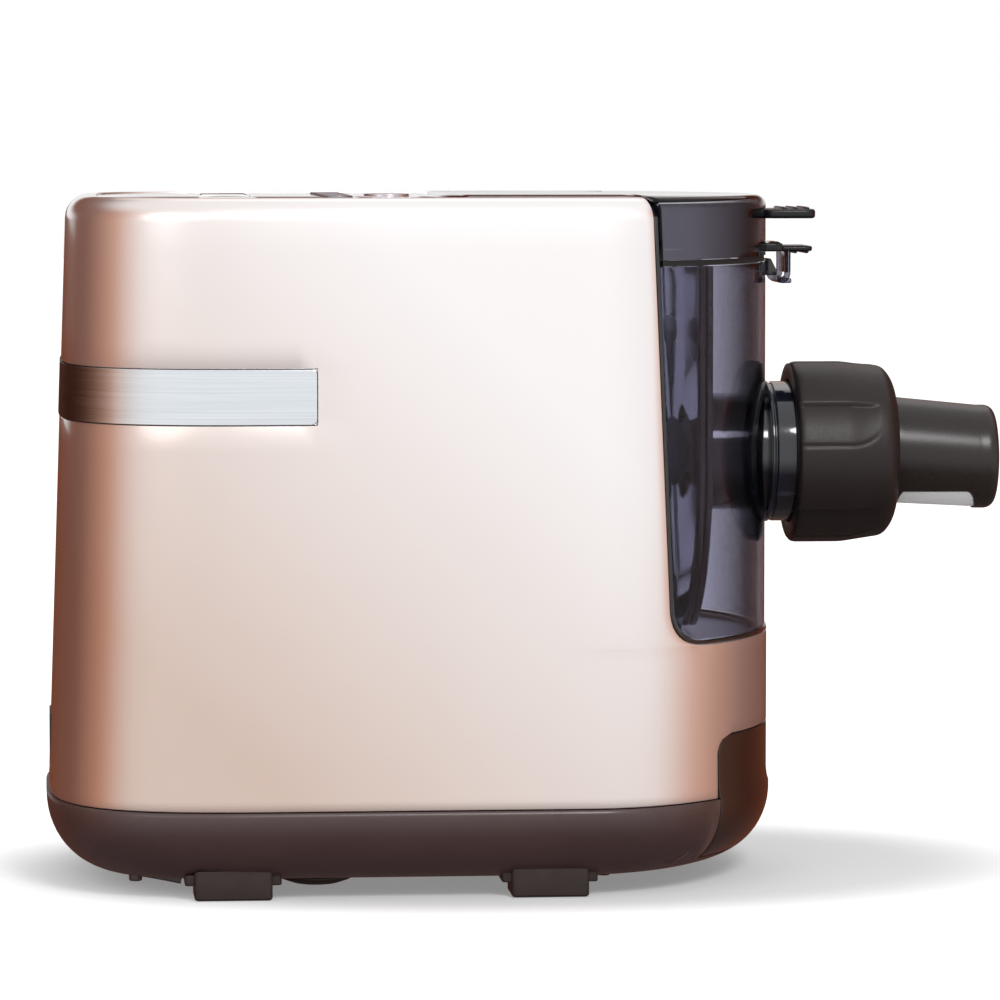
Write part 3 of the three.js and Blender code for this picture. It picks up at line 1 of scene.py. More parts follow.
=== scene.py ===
import bmesh
import bpy
import numpy as np
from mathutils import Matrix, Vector


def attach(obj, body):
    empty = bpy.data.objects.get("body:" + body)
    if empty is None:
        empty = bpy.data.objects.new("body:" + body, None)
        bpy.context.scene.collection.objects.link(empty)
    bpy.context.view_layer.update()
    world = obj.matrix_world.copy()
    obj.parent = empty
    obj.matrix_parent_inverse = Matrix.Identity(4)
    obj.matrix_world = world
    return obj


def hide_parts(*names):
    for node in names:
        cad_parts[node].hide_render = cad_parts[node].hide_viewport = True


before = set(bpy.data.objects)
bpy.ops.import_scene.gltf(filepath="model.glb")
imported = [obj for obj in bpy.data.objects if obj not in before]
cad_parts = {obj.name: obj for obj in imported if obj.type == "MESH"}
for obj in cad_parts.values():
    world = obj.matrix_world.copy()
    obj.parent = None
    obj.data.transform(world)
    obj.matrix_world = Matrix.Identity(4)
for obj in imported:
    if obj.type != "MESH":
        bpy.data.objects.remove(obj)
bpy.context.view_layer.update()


# Studio: a pale table top that runs out of sight under an even white surround, both plain white to
# the camera away from the machine. Gloss sees the surround turn warm and dark beside, behind and below
# the machine. The lamps and a weaker surround light it, so that its shadow stays on the table, deepened
# by a painted shadow where the table's glow is dimmed round the machine.
def linear(red, green, blue):
    """A colour written as 0 to 255 on a screen, as the linear values that a shader takes."""
    share = np.array([red, green, blue]) / 255
    value = np.where(share <= 0.04045, share / 12.92, ((share + 0.055) / 1.055) ** 2.4)
    return (*map(float, value), 1.0)


def node(tree, kind, values=(), **settings):
    """A node with its settings, and its inputs set to a value or linked to another node's output."""
    made = tree.nodes.new(kind)
    for key, value in settings.items():
        setattr(made, key, value)
    for key, value in dict(values).items():
        if isinstance(value, bpy.types.NodeSocket):
            tree.links.new(value, made.inputs[key])
        else:
            made.inputs[key].default_value = value
    return made


def sums(tree, operation, *values):
    """The output of one Math node."""
    return node(tree, "ShaderNodeMath", enumerate(values), operation=operation).outputs[0]


def mixed(tree, share, first, second):
    """A colour between two, by a share."""
    return node(tree, "ShaderNodeMix", {0: share, 6: first, 7: second}, data_type="RGBA").outputs[2]


def ranged(tree, value, low, high, start=0.3, end=0.7, **way):
    """A value that runs from low to high as another runs from start to end."""
    return node(tree, "ShaderNodeMapRange", {
        "Value": value, "From Min": start, "From Max": end, "To Min": low, "To Max": high,
    }, **way).outputs[0]


scene = bpy.context.scene
scene.view_settings.view_transform = "Standard"

white = (1, 1, 1, 1)
surround_on_machine = 0.40
side_tone, behind_dark, below_dark = linear(212, 152, 120), linear(112, 60, 40), linear(98, 84, 82)
world = bpy.data.worlds.new("studio")
scene.world = world
world.use_nodes = True
sky = world.node_tree
sky.nodes.clear()
ray = node(sky, "ShaderNodeLightPath").outputs
direction = node(sky, "ShaderNodeTexCoord").outputs["Generated"]
aim = node(sky, "ShaderNodeSeparateXYZ", {0: direction}).outputs

# What a reflection aims at, by its Y: the side, further back, the far wall. By its Z: how level it is
beside = ranged(sky, aim[1], 0.0, 1.0, -0.64, 0.05, interpolation_type="SMOOTHSTEP")
further = ranged(sky, aim[1], 0.0, 1.0, -0.1, 0.6)
far_wall = ranged(sky, aim[1], 0.0, 1.0, 0.86, 0.96)
over_top = ranged(sky, aim[2], 0.0, 1.0, -0.004, 0.012)
near_level = ranged(sky, aim[2], 0.0, 1.0, 0.14, 0.06)
level_way = ranged(sky, aim[2], 1.0, 0.0, 0.45, 0.85, interpolation_type="SMOOTHSTEP")
below = ranged(sky, aim[2], 0.0, 1.0, -0.2, -0.6)
bright_strip = sums(sky, "MULTIPLY", far_wall, sums(sky, "MULTIPLY", over_top, near_level))
off_strip = sums(sky, "SUBTRACT", 1.0, bright_strip)
dim = sums(sky, "MULTIPLY", sums(sky, "MULTIPLY", beside, off_strip), level_way)
around = mixed(sky, dim, white, mixed(sky, further, side_tone, behind_dark))
mirrored = mixed(sky, below, around, below_dark)
seen, lights, gloss = (
    node(sky, "ShaderNodeBackground", {"Color": colour, "Strength": strength}).outputs[0]
    for colour, strength in [(white, 1.0), (white, surround_on_machine), (mirrored, 1.0)])
straight = sums(sky, "MAXIMUM", ray["Is Camera Ray"], ray["Is Transmission Ray"])
lit = node(sky, "ShaderNodeMixShader", {0: ray["Is Glossy Ray"], 1: lights, 2: gloss}).outputs[0]
surround = node(sky, "ShaderNodeMixShader", {0: straight, 1: lit, 2: seen}).outputs[0]
node(sky, "ShaderNodeOutputWorld", {0: surround})

# Painted shadow: the table glows less close to the machine, in an oval as long as it is, so that it
# is darker round the machine as under a contact shadow, and gloss doesn't see it
table_half, table_drop = 9.0, 0.0002
glow_near, glow_far, glow_start, glow_end, oval = 0.24, 0.84, 0.1, 0.175, (0.66, 1.0, 1.0)
table_mesh = bpy.data.meshes.new("table")
table_corners = np.array([[-1, -1], [1, -1], [1, 1], [-1, 1]]) * table_half
table_mesh.from_pydata([(x, y, -table_drop) for x, y in table_corners], [], [(0, 1, 2, 3)])
table = bpy.data.objects.new("table", table_mesh)
scene.collection.objects.link(table)
table_look = bpy.data.materials.new("table_white")
table_look.use_nodes = True
top = table_look.node_tree
top.nodes.clear()
ray = node(top, "ShaderNodeLightPath").outputs
direct = sums(top, "MAXIMUM", ray["Is Camera Ray"], ray["Is Transmission Ray"])
place = node(top, "ShaderNodeTexCoord").outputs["Object"]
shortened = node(top, "ShaderNodeMapping", {"Vector": place, "Scale": oval}).outputs[0]
away = node(top, "ShaderNodeVectorMath", {0: shortened}, operation="LENGTH").outputs["Value"]
# Painted shadow: the glow is lowest next to the machine and rises to full away from it
glow_with_painted_shadow = ranged(top, away, glow_near, glow_far, glow_start, glow_end, interpolation_type="SMOOTHSTEP")
glow = node(top, "ShaderNodeEmission", {
    "Color": white, "Strength": sums(top, "MULTIPLY", direct, glow_with_painted_shadow),
}).outputs[0]
matt = node(top, "ShaderNodeBsdfDiffuse", {"Color": linear(226, 226, 226)}).outputs[0]
lit = node(top, "ShaderNodeAddShader", {0: glow, 1: matt}).outputs[0]
clear = node(top, "ShaderNodeBsdfTransparent").outputs[0]
node(top, "ShaderNodeOutputMaterial", {
    0: node(top, "ShaderNodeMixShader", {0: ray["Is Glossy Ray"], 1: lit, 2: clear}).outputs[0],
})
table_mesh.materials.append(table_look)

lamp_aim = Vector((0, 0, 0.13))
for name, place, size, power in [
    ("key_lamp", (0.46, -1.8, 1.5), 0.7, 20),
    ("fill_lamp", (-1.3, -1.5, 1.1), 1.4, 4),
    ("rear_lamp", (0.3, 1.9, 1.6), 1.8, 5),
]:
    lamp = bpy.data.lights.new(name, "AREA")
    lamp.shape = "DISK"
    lamp.size = size
    lamp.energy = power
    holder = bpy.data.objects.new(name, lamp)
    holder.location = place
    holder.rotation_euler = (lamp_aim - Vector(place)).to_track_quat("-Z", "Y").to_euler()
    scene.collection.objects.link(holder)

# Camera: a long lens about two metres off, a little above the top, that looks slightly down
camera = bpy.data.objects.new("camera", bpy.data.cameras.new("camera"))
camera.data.lens = 195.9
camera.data.sensor_width = 36
camera.data.clip_end = 60
camera.location = (-0.1966, -2.1611, 0.302)
camera.rotation_euler = np.radians([90 - 4.09, 0, -4.97])
scene.collection.objects.link(camera)
scene.camera = camera


# Housing: one deep-drawn looking shell of moulded plastic, sprayed champagne over fine metal flake
# and lacquered. Open below, with a wide window at the nose, a recess for the steel band, a notch
# for the drawer and an opening along the top. Its wall is 3 mm, turned over softly at the top.
seam = 0.035
crown = 0.269
side_half = 0.102
side_lean = 0.004
nose_centre, nose_depth, nose_power = 0.020, 0.078, 1.85
tail_centre, tail_depth, tail_lean, tail_power = -0.094, 0.095, 0.008, 3.3


def skin(turn, level, inset=0.0):
    """Points on the body's near half. From the nose tip, turn runs 0 to 1 over a superellipse nose,
    to 2 along the straight side and to 3 over a superellipse tail; the half width and the tail
    shrink with height, and inset moves the point in along the outline's normal."""
    turn, level, inset = np.broadcast_arrays(*(np.asarray(v, float) for v in (turn, level, inset)))
    share = np.clip((level - seam) / (crown - seam), 0, None)
    half = side_half - side_lean * share
    tail = tail_depth - tail_lean * share
    at_nose, at_tail = turn <= 1, turn >= 2
    curved = at_nose | at_tail
    angle = np.where(at_nose, 1 - turn, turn - 2).clip(0, 1) * np.pi / 2
    power = np.where(at_nose, nose_power, tail_power)
    along, over = np.sin(angle), np.cos(angle)
    reach = (along**power + over**power) ** (1 / power)
    along, over = along / reach, over / reach
    depth = np.where(at_nose, nose_depth, tail)
    centre = np.where(at_nose, nose_centre, tail_centre)
    sign = np.where(at_nose, 1, -1)
    straight = nose_centre + (tail_centre - nose_centre) * (turn - 1)
    x = np.where(curved, centre + sign * depth * along, straight)
    y = half * np.where(curved, over, 1)
    normal_x = np.where(curved, sign * along ** (power - 1) / depth, 0)
    normal_y = np.where(curved, over ** (power - 1) / half, 1)
    length = np.hypot(normal_x, normal_y)
    return np.stack([x - inset * normal_x / length, inset * normal_y / length - y, level], -1)


def turn_at_x(x):
    """The turn at which the near side reaches an x, on the nose or the straight side."""
    x = np.asarray(x, float)
    along = np.clip((x - nose_centre) / nose_depth, 0, 1)
    over = (1 - along**nose_power) ** (1 / nose_power)
    on_nose = 1 - np.arctan2(along, over) * 2 / np.pi
    return np.where(x > nose_centre, on_nose, 1 + (x - nose_centre) / (tail_centre - nose_centre))


def turn_at_y(y, level):
    """The turn at which the nose reaches a half width at a level."""
    lean = side_lean * (np.asarray(level, float) - seam) / (crown - seam)
    over = np.asarray(y, float) / (side_half - lean)
    return 1 - np.arctan2((1 - over**nose_power) ** (1 / nose_power), over) * 2 / np.pi


def between(start, end, steps):
    """Rows of evenly spaced values from one column of values to another."""
    share = np.linspace(0, 1, steps)
    start, end = np.asarray(start, float)[..., None], np.asarray(end, float)[..., None]
    return start * (1 - share) + end * share


def sheet(name, grids, weld=1e-5):
    """An object from grids of points, rows by columns, welded where they meet."""
    points, faces, start = [], [], 0
    for grid in grids:
        rows, columns = grid.shape[:2]
        index = start + np.arange(rows * columns).reshape(rows, columns)
        corners = index[:-1, :-1], index[:-1, 1:], index[1:, 1:], index[1:, :-1]
        faces.append(np.stack(corners, -1).reshape(-1, 4))
        points.append(grid.reshape(-1, 3))
        start += rows * columns
    mesh = bpy.data.meshes.new(name)
    mesh.from_pydata(np.concatenate(points).tolist(), [], np.concatenate(faces).tolist())
    shape = bmesh.new()
    shape.from_mesh(mesh)
    bmesh.ops.remove_doubles(shape, verts=shape.verts, dist=weld)
    bmesh.ops.dissolve_degenerate(shape, edges=shape.edges, dist=weld)
    bmesh.ops.recalc_face_normals(shape, faces=shape.faces)
    shape.to_mesh(mesh)
    shape.free()
    made = bpy.data.objects.new(name, mesh)
    scene.collection.objects.link(made)
    return made


def piece(name, grids, look, body, slot, *nodes, mirror=False, wall=0.0, edge=0.0, segments=2, weld=1e-5,
          cutters=()):
    """A finished object from grids, with its finish, its body and the CAD nodes that it stands for; its
    slot is not used. Mirror adds the far half, wall thickens inwards, each closed cutter grid is cut
    away, and edge rounds the corners."""
    if mirror:
        grids = list(grids) + [grid[:, ::-1] * (1, -1, 1) for grid in grids]
    made = sheet(name, grids, weld)
    if wall:
        thick = made.modifiers.new("wall", "SOLIDIFY")
        thick.thickness = wall
        thick.offset = -1
        thick.use_even_offset = True
    tool = sheet("cutter", cutters) if cutters else None
    if tool:
        cut = made.modifiers.new("cut", "BOOLEAN")
        cut.object = tool
        cut.solver = "EXACT"
    if edge:
        round_off = made.modifiers.new("edge", "BEVEL")
        round_off.width = edge
        round_off.segments = segments
        round_off.angle_limit = np.radians(35)
        made.modifiers.new("shading", "WEIGHTED_NORMAL").keep_sharp = True
    final = bpy.data.meshes.new_from_object(made.evaluated_get(bpy.context.evaluated_depsgraph_get()))
    made.modifiers.clear()
    if tool:
        bpy.data.objects.remove(tool)
    made.data = final
    final.name = name
    final.shade_smooth()
    if not edge:
        final.set_sharp_from_angle(angle=np.radians(38))
    final.materials.clear()
    final.materials.append(look)
    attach(made, body)
    if nodes:
        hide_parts(*nodes)


def slab(low, high, corner, soft, steps=6):
    """A closed grid over a block between two points: its outline in plan is rounded by one radius
    and its top and bottom edges by another, and each end runs in to a middle point."""
    low, high = np.array(low, float), np.array(high, float)
    middle, half = (low + high) / 2, (high - low) / 2
    turn = np.linspace(0, np.pi / 2, steps)
    quarter = np.concatenate([turn + q * np.pi / 2 for q in range(4)])
    outward = np.stack([np.cos(quarter), np.sin(quarter)], -1)
    side = np.repeat([(1, 1), (-1, 1), (-1, -1), (1, -1)], steps, 0)
    lean = np.linspace(-np.pi / 2, np.pi / 2, 2 * steps)
    level = np.where(lean < 0, low[2] + soft, high[2] - soft) + soft * np.sin(lean)
    first, last = (np.array([[*middle[:2], z]] * (4 * steps)) for z in (low[2], high[2]))
    rows = [first]
    for z, inset in zip(level, soft * (1 - np.cos(lean))):
        reach = max(corner - inset, 1e-5)
        flat = middle[:2] + side * (half[:2] - inset - reach) + reach * outward
        rows.append(np.column_stack([flat, np.full(len(flat), z)]))
    grid = np.stack([*rows, last])
    return np.concatenate([grid, grid[:, :1]], 1)


window_low, window_corner_top, window_corner = 0.096, 0.112, 0.016
window_x_low, window_x_top = 0.049, 0.042
drawer_half, drawer_top, drawer_corner = 0.0745, 0.060, 0.008
band_front, band_low, band_high, recess = -0.0867, 0.1827, 0.2043, 0.0013
wall, crown_radius, opening_inset = 0.003, 0.009, 0.012


def window_edge(level, inward=0.0):
    """The x of the window's rear edge at a level: a leaning line that turns into the sill by a
    parabola, moved towards the window by an amount."""
    lean = (window_x_low - window_x_top) * (level - window_corner_top) / (crown - window_corner_top)
    line = window_x_low - lean
    low = window_low + inward
    share = np.clip((window_corner_top - level) / (window_corner_top - low), 0, 1)
    return line * (share == 0) + (share > 0) * (
        window_x_low + (window_corner - inward) * (1 - np.sqrt(1 - share)) ** 2) + inward


def crown_rows(start, radius, inset, steps):
    """Levels and insets that run up from a level and turn over at the crown by a quarter circle."""
    angle = np.linspace(0, np.pi / 2, steps)
    return (np.concatenate([start, crown - radius + radius * np.sin(angle)]),
            np.concatenate([0 * start, radius * (1 - np.cos(angle))]) + inset)


# Rows stand thicker where the outline bends; doubled rows and columns step into the recess
low_rows = np.concatenate([np.linspace(seam + 0.0003, drawer_top - drawer_corner, 5),
                           drawer_top - drawer_corner * np.cos(np.linspace(0.2, np.pi / 2, 7))])
sill_rows = np.linspace(drawer_top, window_low, 8)[1:]
corner_rows = window_low + window_corner * np.linspace(0, 1, 11)[1:] ** 2
side_rows = np.linspace(window_corner_top, band_low, 8)[1:]
band_rows = np.linspace(band_low, band_high, 5)
upper_rows = np.linspace(band_high, crown - crown_radius, 6)
straight_rows = np.concatenate([low_rows, sill_rows, corner_rows, side_rows, band_rows, upper_rows[:-1]])
levels, insets = crown_rows(straight_rows, crown_radius, 0, 9)
levels = np.append(levels, crown)
insets = np.append(insets, opening_inset)
edge_turn = turn_at_x(np.where(levels < window_low, window_x_low + window_corner, window_edge(levels)))
tail_turns = 2 + np.sin(np.linspace(0, np.pi / 2, 30)) ** 0.8
straight_steps = 8
columns = np.concatenate([
    between(edge_turn, 1, straight_steps)[:, :-1],
    np.broadcast_to(np.concatenate([
        np.linspace(1, float(turn_at_x(band_front)), straight_steps), turn_at_x([band_front]), tail_turns,
    ]), (len(levels), straight_steps + 1 + len(tail_turns))),
], 1)
in_band = np.zeros(columns.shape, bool)
first_band_row = len(low_rows) + len(sill_rows) + len(corner_rows) + len(side_rows)
in_band[first_band_row:first_band_row + len(band_rows), 2 * straight_steps - 1:] = True
rear_shell = skin(columns, levels[:, None], insets[:, None] + recess * in_band)

notch = drawer_half - drawer_corner + np.sqrt(np.clip(
    drawer_corner**2 - (low_rows - drawer_top + drawer_corner).clip(0) ** 2, 0, None))
notch_turn = turn_at_y(notch, low_rows)
sill_end = turn_at_x(window_x_low + window_corner)
beside_drawer = skin(between(sill_end, notch_turn, 6), low_rows[:, None])
sill_turns = np.concatenate([between(sill_end, notch_turn[-1], 6), np.linspace(notch_turn[-1], 0, 22)[1:]])
above_drawer = skin(sill_turns, np.concatenate([[drawer_top], sill_rows])[:, None])
inlet_low, inlet_high, inlet_half, inlet_gap = 0.042, 0.062, 0.014, 0.0003
inlet_hole = slab((-0.21, -inlet_half - inlet_gap, inlet_low - inlet_gap),
                  (-0.17, inlet_half + inlet_gap, inlet_high + inlet_gap), 0.002, 0.002)


def value_group(name, inputs, outputs):
    """An empty node group with its sockets, and the output sockets of its input node."""
    group = bpy.data.node_groups.new(name, "ShaderNodeTree")
    for label, value in inputs.items():
        group.interface.new_socket(label, in_out="INPUT", socket_type="NodeSocketFloat").default_value = value
    for label in outputs:
        group.interface.new_socket(label, in_out="OUTPUT", socket_type="NodeSocketFloat")
    return group, group.nodes.new("NodeGroupInput").outputs


# Grain: a fine relief with a slow drift of tone over the whole piece, for paint and moulded plastic
grain, entry = value_group("moulded_grain", {"Scale": 900.0, "Drift Scale": 14.0}, ["Relief", "Drift", "Speck"])
place = node(grain, "ShaderNodeTexCoord").outputs["Object"]
fine, slow = (
    node(grain, "ShaderNodeTexNoise", {"Vector": place, "Scale": entry[scale], "Detail": detail}).outputs[0]
    for scale, detail in [("Scale", 3.0), ("Drift Scale", 4.0)])
cells = node(grain, "ShaderNodeTexVoronoi", {
    "Vector": place, "Scale": sums(grain, "MULTIPLY", entry["Scale"], 1.7),
}).outputs["Color"]
speck = node(grain, "ShaderNodeSeparateColor", {0: cells}).outputs[0]
node(grain, "NodeGroupOutput", {0: fine, 1: slow, 2: speck})

# Wear: where edges stand out they are rubbed towards another colour, in broken patches
wear, entry = value_group("edge_wear", {"From": 0.52, "To": 0.60}, ["Mask"])
pointed = node(wear, "ShaderNodeNewGeometry").outputs["Pointiness"]
broken = node(wear, "ShaderNodeTexNoise", {
    "Vector": node(wear, "ShaderNodeTexCoord").outputs["Object"], "Scale": 160.0, "Detail": 4.0,
}).outputs[0]
rubbed = node(wear, "ShaderNodeMapRange", {
    "Value": pointed, "From Min": entry["From"], "From Max": entry["To"],
}).outputs[0]
node(wear, "NodeGroupOutput", {0: sums(wear, "MULTIPLY", rubbed, broken)})


def new_look(name):
    """A new material, its nodes and its shader."""
    made = bpy.data.materials.new(name)
    made.use_nodes = True
    return made, made.node_tree, made.node_tree.nodes["Principled BSDF"]


def finish(name, base, drift, rough, scale=900.0, relief=0.00002, edge=None, speck=0.0, spread=0.05, painted_highlight=None,
           **plain):
    """A finish with grain: two near colours that drift into each other, a roughness that follows its
    fine relief, and rubbed edges in a third colour. Speck makes bright specks, and fade paints a
    highlight: another colour, with the direction and the two places between which it comes in. Plain
    gives values that are the same all over the surface."""
    made, tree, shader = new_look(name)
    pattern = node(tree, "ShaderNodeGroup", {}, node_tree=grain)
    pattern.inputs["Scale"].default_value = scale
    rub = node(tree, "ShaderNodeGroup", {}, node_tree=wear)
    colour = mixed(tree, ranged(tree, pattern.outputs["Drift"], 0.0, 1.0), linear(*base), linear(*drift))
    # Painted highlight: the colour turns paler along a direction, as if more light fell there
    if painted_highlight:
        tone, along, start, end = painted_highlight
        place = node(tree, "ShaderNodeTexCoord").outputs["Object"]
        way = node(tree, "ShaderNodeVectorMath", {0: place, 1: along}, operation="DOT_PRODUCT").outputs["Value"]
        colour = mixed(tree, ranged(tree, way, 0.0, 1.0, start, end), colour, linear(*tone))
    if speck:
        bright = tuple(min(1.0, share * (1 + speck)) for share in linear(*base)[:3]) + (1.0,)
        colour = mixed(tree, ranged(tree, pattern.outputs["Speck"], 0.0, 1.0, 0.55, 0.95), colour, bright)
    colour = mixed(tree, sums(tree, "MULTIPLY", rub.outputs[0], 0.5), colour, linear(*(edge or drift)))
    roughness = ranged(tree, pattern.outputs["Relief"], rough - spread, rough + spread)
    bump = node(tree, "ShaderNodeBump", {"Height": pattern.outputs["Relief"], "Distance": relief})
    for label, value in {"Base Color": colour, "Roughness": roughness, "Normal": bump.outputs[0]}.items():
        tree.links.new(value, shader.inputs[label])
    for label, value in plain.items():
        shader.inputs[label.replace("_", " ")].default_value = value
    return made


# The lacquer turns whiter towards the nose and the top: a painted highlight for the light that falls there
champagne = finish("champagne_lacquer", (220, 198, 186), (217, 193, 180), 0.3, scale=1500.0, relief=0.000002,
                   edge=(240, 230, 226), spread=0.01, painted_highlight=((250, 246, 246), (0.7, 0, 0.71), -0.04, 0.14),
                   Metallic=0.82, Coat_Weight=1.0, Coat_Roughness=0.08)
piece("housing", [rear_shell, beside_drawer, above_drawer], champagne, "body", "champagne_shell",
      "housing_shell", mirror=True, wall=wall, edge=0.0007, cutters=[inlet_hole])


# Base: a shallow tray of dark brown plastic in a satin gloss, a millimetre wider than the housing,
# whose flank rounds under to a flat bottom. It is open at the nose for the drawer's front and has
# a short slanted slot in each side of the nose, through which a screw is reached.
base_low, base_high = 0.007, 0.026
base_in, base_out = 0.024, 0.001


def flank(level):
    """How far in the base lies at a level: a quarter ellipse from its side to its flat bottom."""
    drop = np.clip((base_low + base_high - np.asarray(level, float)) / base_high, 0, 1)
    return base_in * (1 - np.sqrt(1 - drop**2)) - base_out


mouth_low = 0.0112
flank_rows = base_low + base_high * (1 - np.cos(np.linspace(0, np.pi / 2, 16)))
flank_rows = np.append(flank_rows, seam)
flank_rows = np.sort(np.append(flank_rows, mouth_low))
mouth_turn = turn_at_y(drawer_half, seam)
side_turns = np.concatenate([np.linspace(1, 2, 8)[:-1], tail_turns])
base_turns = np.concatenate([np.linspace(float(mouth_turn), 1, 12)[:-1], side_turns])
base_side = skin(base_turns, flank_rows[:, None], flank(flank_rows)[:, None])
below_mouth = flank_rows[flank_rows <= mouth_low + 1e-9]
base_nose = skin(np.linspace(float(mouth_turn), 0, 20), below_mouth[:, None], flank(below_mouth)[:, None])
bottom_turns = np.concatenate([np.linspace(0, float(mouth_turn), 20)[:-1], base_turns])
rim = skin(bottom_turns, base_low, flank(base_low))
base_floor = np.stack([rim, rim * (1, 0, 1)])
vents = [slab((-0.173, y - 0.0015, 0), (-0.147, y + 0.0015, 0.02), 0.0014, 0.001)
         for y in 0.007 * np.arange(-2, 3)]
slot_tilt, slot_x, slot_y, slot_z = np.pi / 7, 0.053, -0.091, 0.012
slot = slab((-0.0055, -0.012, -0.0011), (0.0055, 0.012, 0.0011), 0.001, 0.0009)
x, y, z = np.moveaxis(slot, -1, 0)
slot = np.stack([x * np.cos(slot_tilt) - z * np.sin(slot_tilt) + slot_x, y + slot_y,
                 x * np.sin(slot_tilt) + z * np.cos(slot_tilt) + slot_z], -1)
base_brown = finish("base_satin_brown", (78, 56, 56), (70, 50, 50), 0.36, scale=1300.0, relief=0.00001,
                    edge=(96, 78, 74), Coat_Weight=0.2, Coat_Roughness=0.2)
piece("base", [base_side, base_nose, base_floor], base_brown, "body", "brown_base", "base_tray", mirror=True,
      wall=0.0028, edge=0.0005, cutters=[*vents, slot, slot * (1, -1, 1)])


# Drawer front: glossy dark brown plastic that carries the body's line over the opening. Its top
# corners are rounded, it stands in the notch with a half millimetre round it, and its lower part
# rolls under like the base.
front_half, front_top, front_low, front_corner, front_roll = 0.074, 0.0595, 0.0115, 0.0075, 0.0234
lip_high, lip_proud = 0.004, 0.0004
front_rows = np.concatenate([
    front_low + 0.0001 + front_roll * (1 - np.cos(np.linspace(0, np.pi / 2, 12))),
    np.linspace(seam + 0.002, front_top - front_corner, 5),
    front_top - front_corner + front_corner * np.sin(np.linspace(0.15, np.pi / 2, 8)),
])
corner_rise = (front_rows - front_top + front_corner).clip(0)
front_width = front_half - front_corner + np.sqrt(np.clip(front_corner**2 - corner_rise**2, 0, None))
front_turn = turn_at_y(front_width, front_rows)
front_inset = np.where(front_rows < seam, flank(front_rows), 0)
lip_rows = (front_rows >= seam) & (front_rows < seam + lip_high)
front_inset = np.where(lip_rows, -lip_proud, front_inset)
face = skin(between(front_turn, 0 * front_turn, 26), front_rows[:, None], front_inset[:, None])
face_brown = finish("drawer_gloss_brown", (44, 31, 28), (40, 28, 26), 0.2, scale=1300.0, relief=0.000006,
                    edge=(96, 78, 70), Coat_Weight=0.5, Coat_Roughness=0.06)
piece("drawer_face", [face], face_brown, "drawer_body", "brown_gloss", "drawer_front", mirror=True,
      wall=0.003, edge=0.0008, segments=3)


# Trim band: brushed stainless strip, half a millimetre proud, bonded into the housing's recess.
# It wraps the rear and ends on each side in a square end with small rounded corners.
band_corner, band_proud = 0.0018, 0.0005
band_rows = band_low + 0.0003 + (band_high - band_low - 0.0006) * (1 - np.cos(np.linspace(0, np.pi, 22))) / 2
corner_depth = (band_corner - np.minimum(band_rows - band_rows[0], band_rows[-1] - band_rows)).clip(0)
end_x = band_front - 0.0003 - band_corner + np.sqrt(np.clip(band_corner**2 - corner_depth**2, 0, None))
band_turns = np.concatenate([between(turn_at_x(end_x), 2, 6)[:, :-1],
                             np.broadcast_to(tail_turns, (len(band_rows), len(tail_turns)))], 1)
steel, tree, shader = new_look("brushed_steel")
place = node(tree, "ShaderNodeTexCoord").outputs["Object"]
drawn_out = node(tree, "ShaderNodeMapping", {"Vector": place, "Scale": (14.0, 14.0, 4200.0)}).outputs[0]
brush = node(tree, "ShaderNodeTexNoise", {"Vector": drawn_out, "Scale": 1.0, "Detail": 3.0}).outputs[0]
bright = mixed(tree, ranged(tree, brush, 0.0, 1.0), linear(212, 218, 223), linear(235, 239, 243))
# Painted shade: towards the rear end the steel's colour turns near black, a painted dark reflection for the
# surroundings round the rear corners
rear_painted_shade = ranged(tree, node(tree, "ShaderNodeSeparateXYZ", {0: place}).outputs[0], 1.0, 0.0, -0.181, -0.163)
for label, value in {
    "Base Color": mixed(tree, rear_painted_shade, bright, linear(34, 35, 38)),
    "Roughness": ranged(tree, brush, 0.24, 0.36),
    "Normal": node(tree, "ShaderNodeBump", {"Height": brush, "Distance": 0.000008}).outputs[0],
}.items():
    tree.links.new(value, shader.inputs[label])
shader.inputs["Metallic"].default_value = 1.0
shader.inputs["Anisotropic"].default_value = 0.5
piece("steel_band", [skin(band_turns, band_rows[:, None], -band_proud)], steel, "body", "brushed_band",
      "rear_trim_band", mirror=True, wall=0.0015, edge=0.00025)


# Window rim: a thin gloss black lip of moulded plastic that lines the window and is clipped to its
# edge. 1.3 mm of it shows, and the cover's glass lies against it.
rim_wide, rim_gap = 0.0013, 0.0003
rise = np.concatenate([crown, window_corner_top + (crown - window_corner_top) * np.linspace(0.95, 0.0, 12),
                       window_low + window_corner * np.linspace(0.96, 0.02, 12) ** 2], axis=None)


def rim_points(inward, depth):
    """The rim's path at a distance from the window's edge: down the leaning edge and round its corner."""
    level = np.maximum(rise, window_low + inward + 1e-6)
    x = window_edge(level, inward)
    inset = depth + np.where(level > crown - crown_radius, crown_radius - np.sqrt(np.clip(
        crown_radius**2 - (level - crown + crown_radius).clip(0) ** 2, 0, None)), 0)
    down = skin(turn_at_x(x), level, inset)
    across = skin(np.linspace(float(sill_end), 0, 30), window_low + inward, depth)
    return np.concatenate([down, across])


loop = np.stack([rim_points(rim_gap + w * rim_wide, d) for w, d in
                 [(0, 0.003), (0, 0.0002), (0.12, 0.0), (0.88, 0.0), (1, 0.0002), (1, 0.003)]])
rim_black = finish("rim_gloss_black", (16, 15, 17), (22, 20, 23), 0.16, edge=(60, 58, 62), Coat_Weight=0.5)
piece("window_lip", [loop], rim_black, "body", "black_trim", "window_rim", mirror=True)


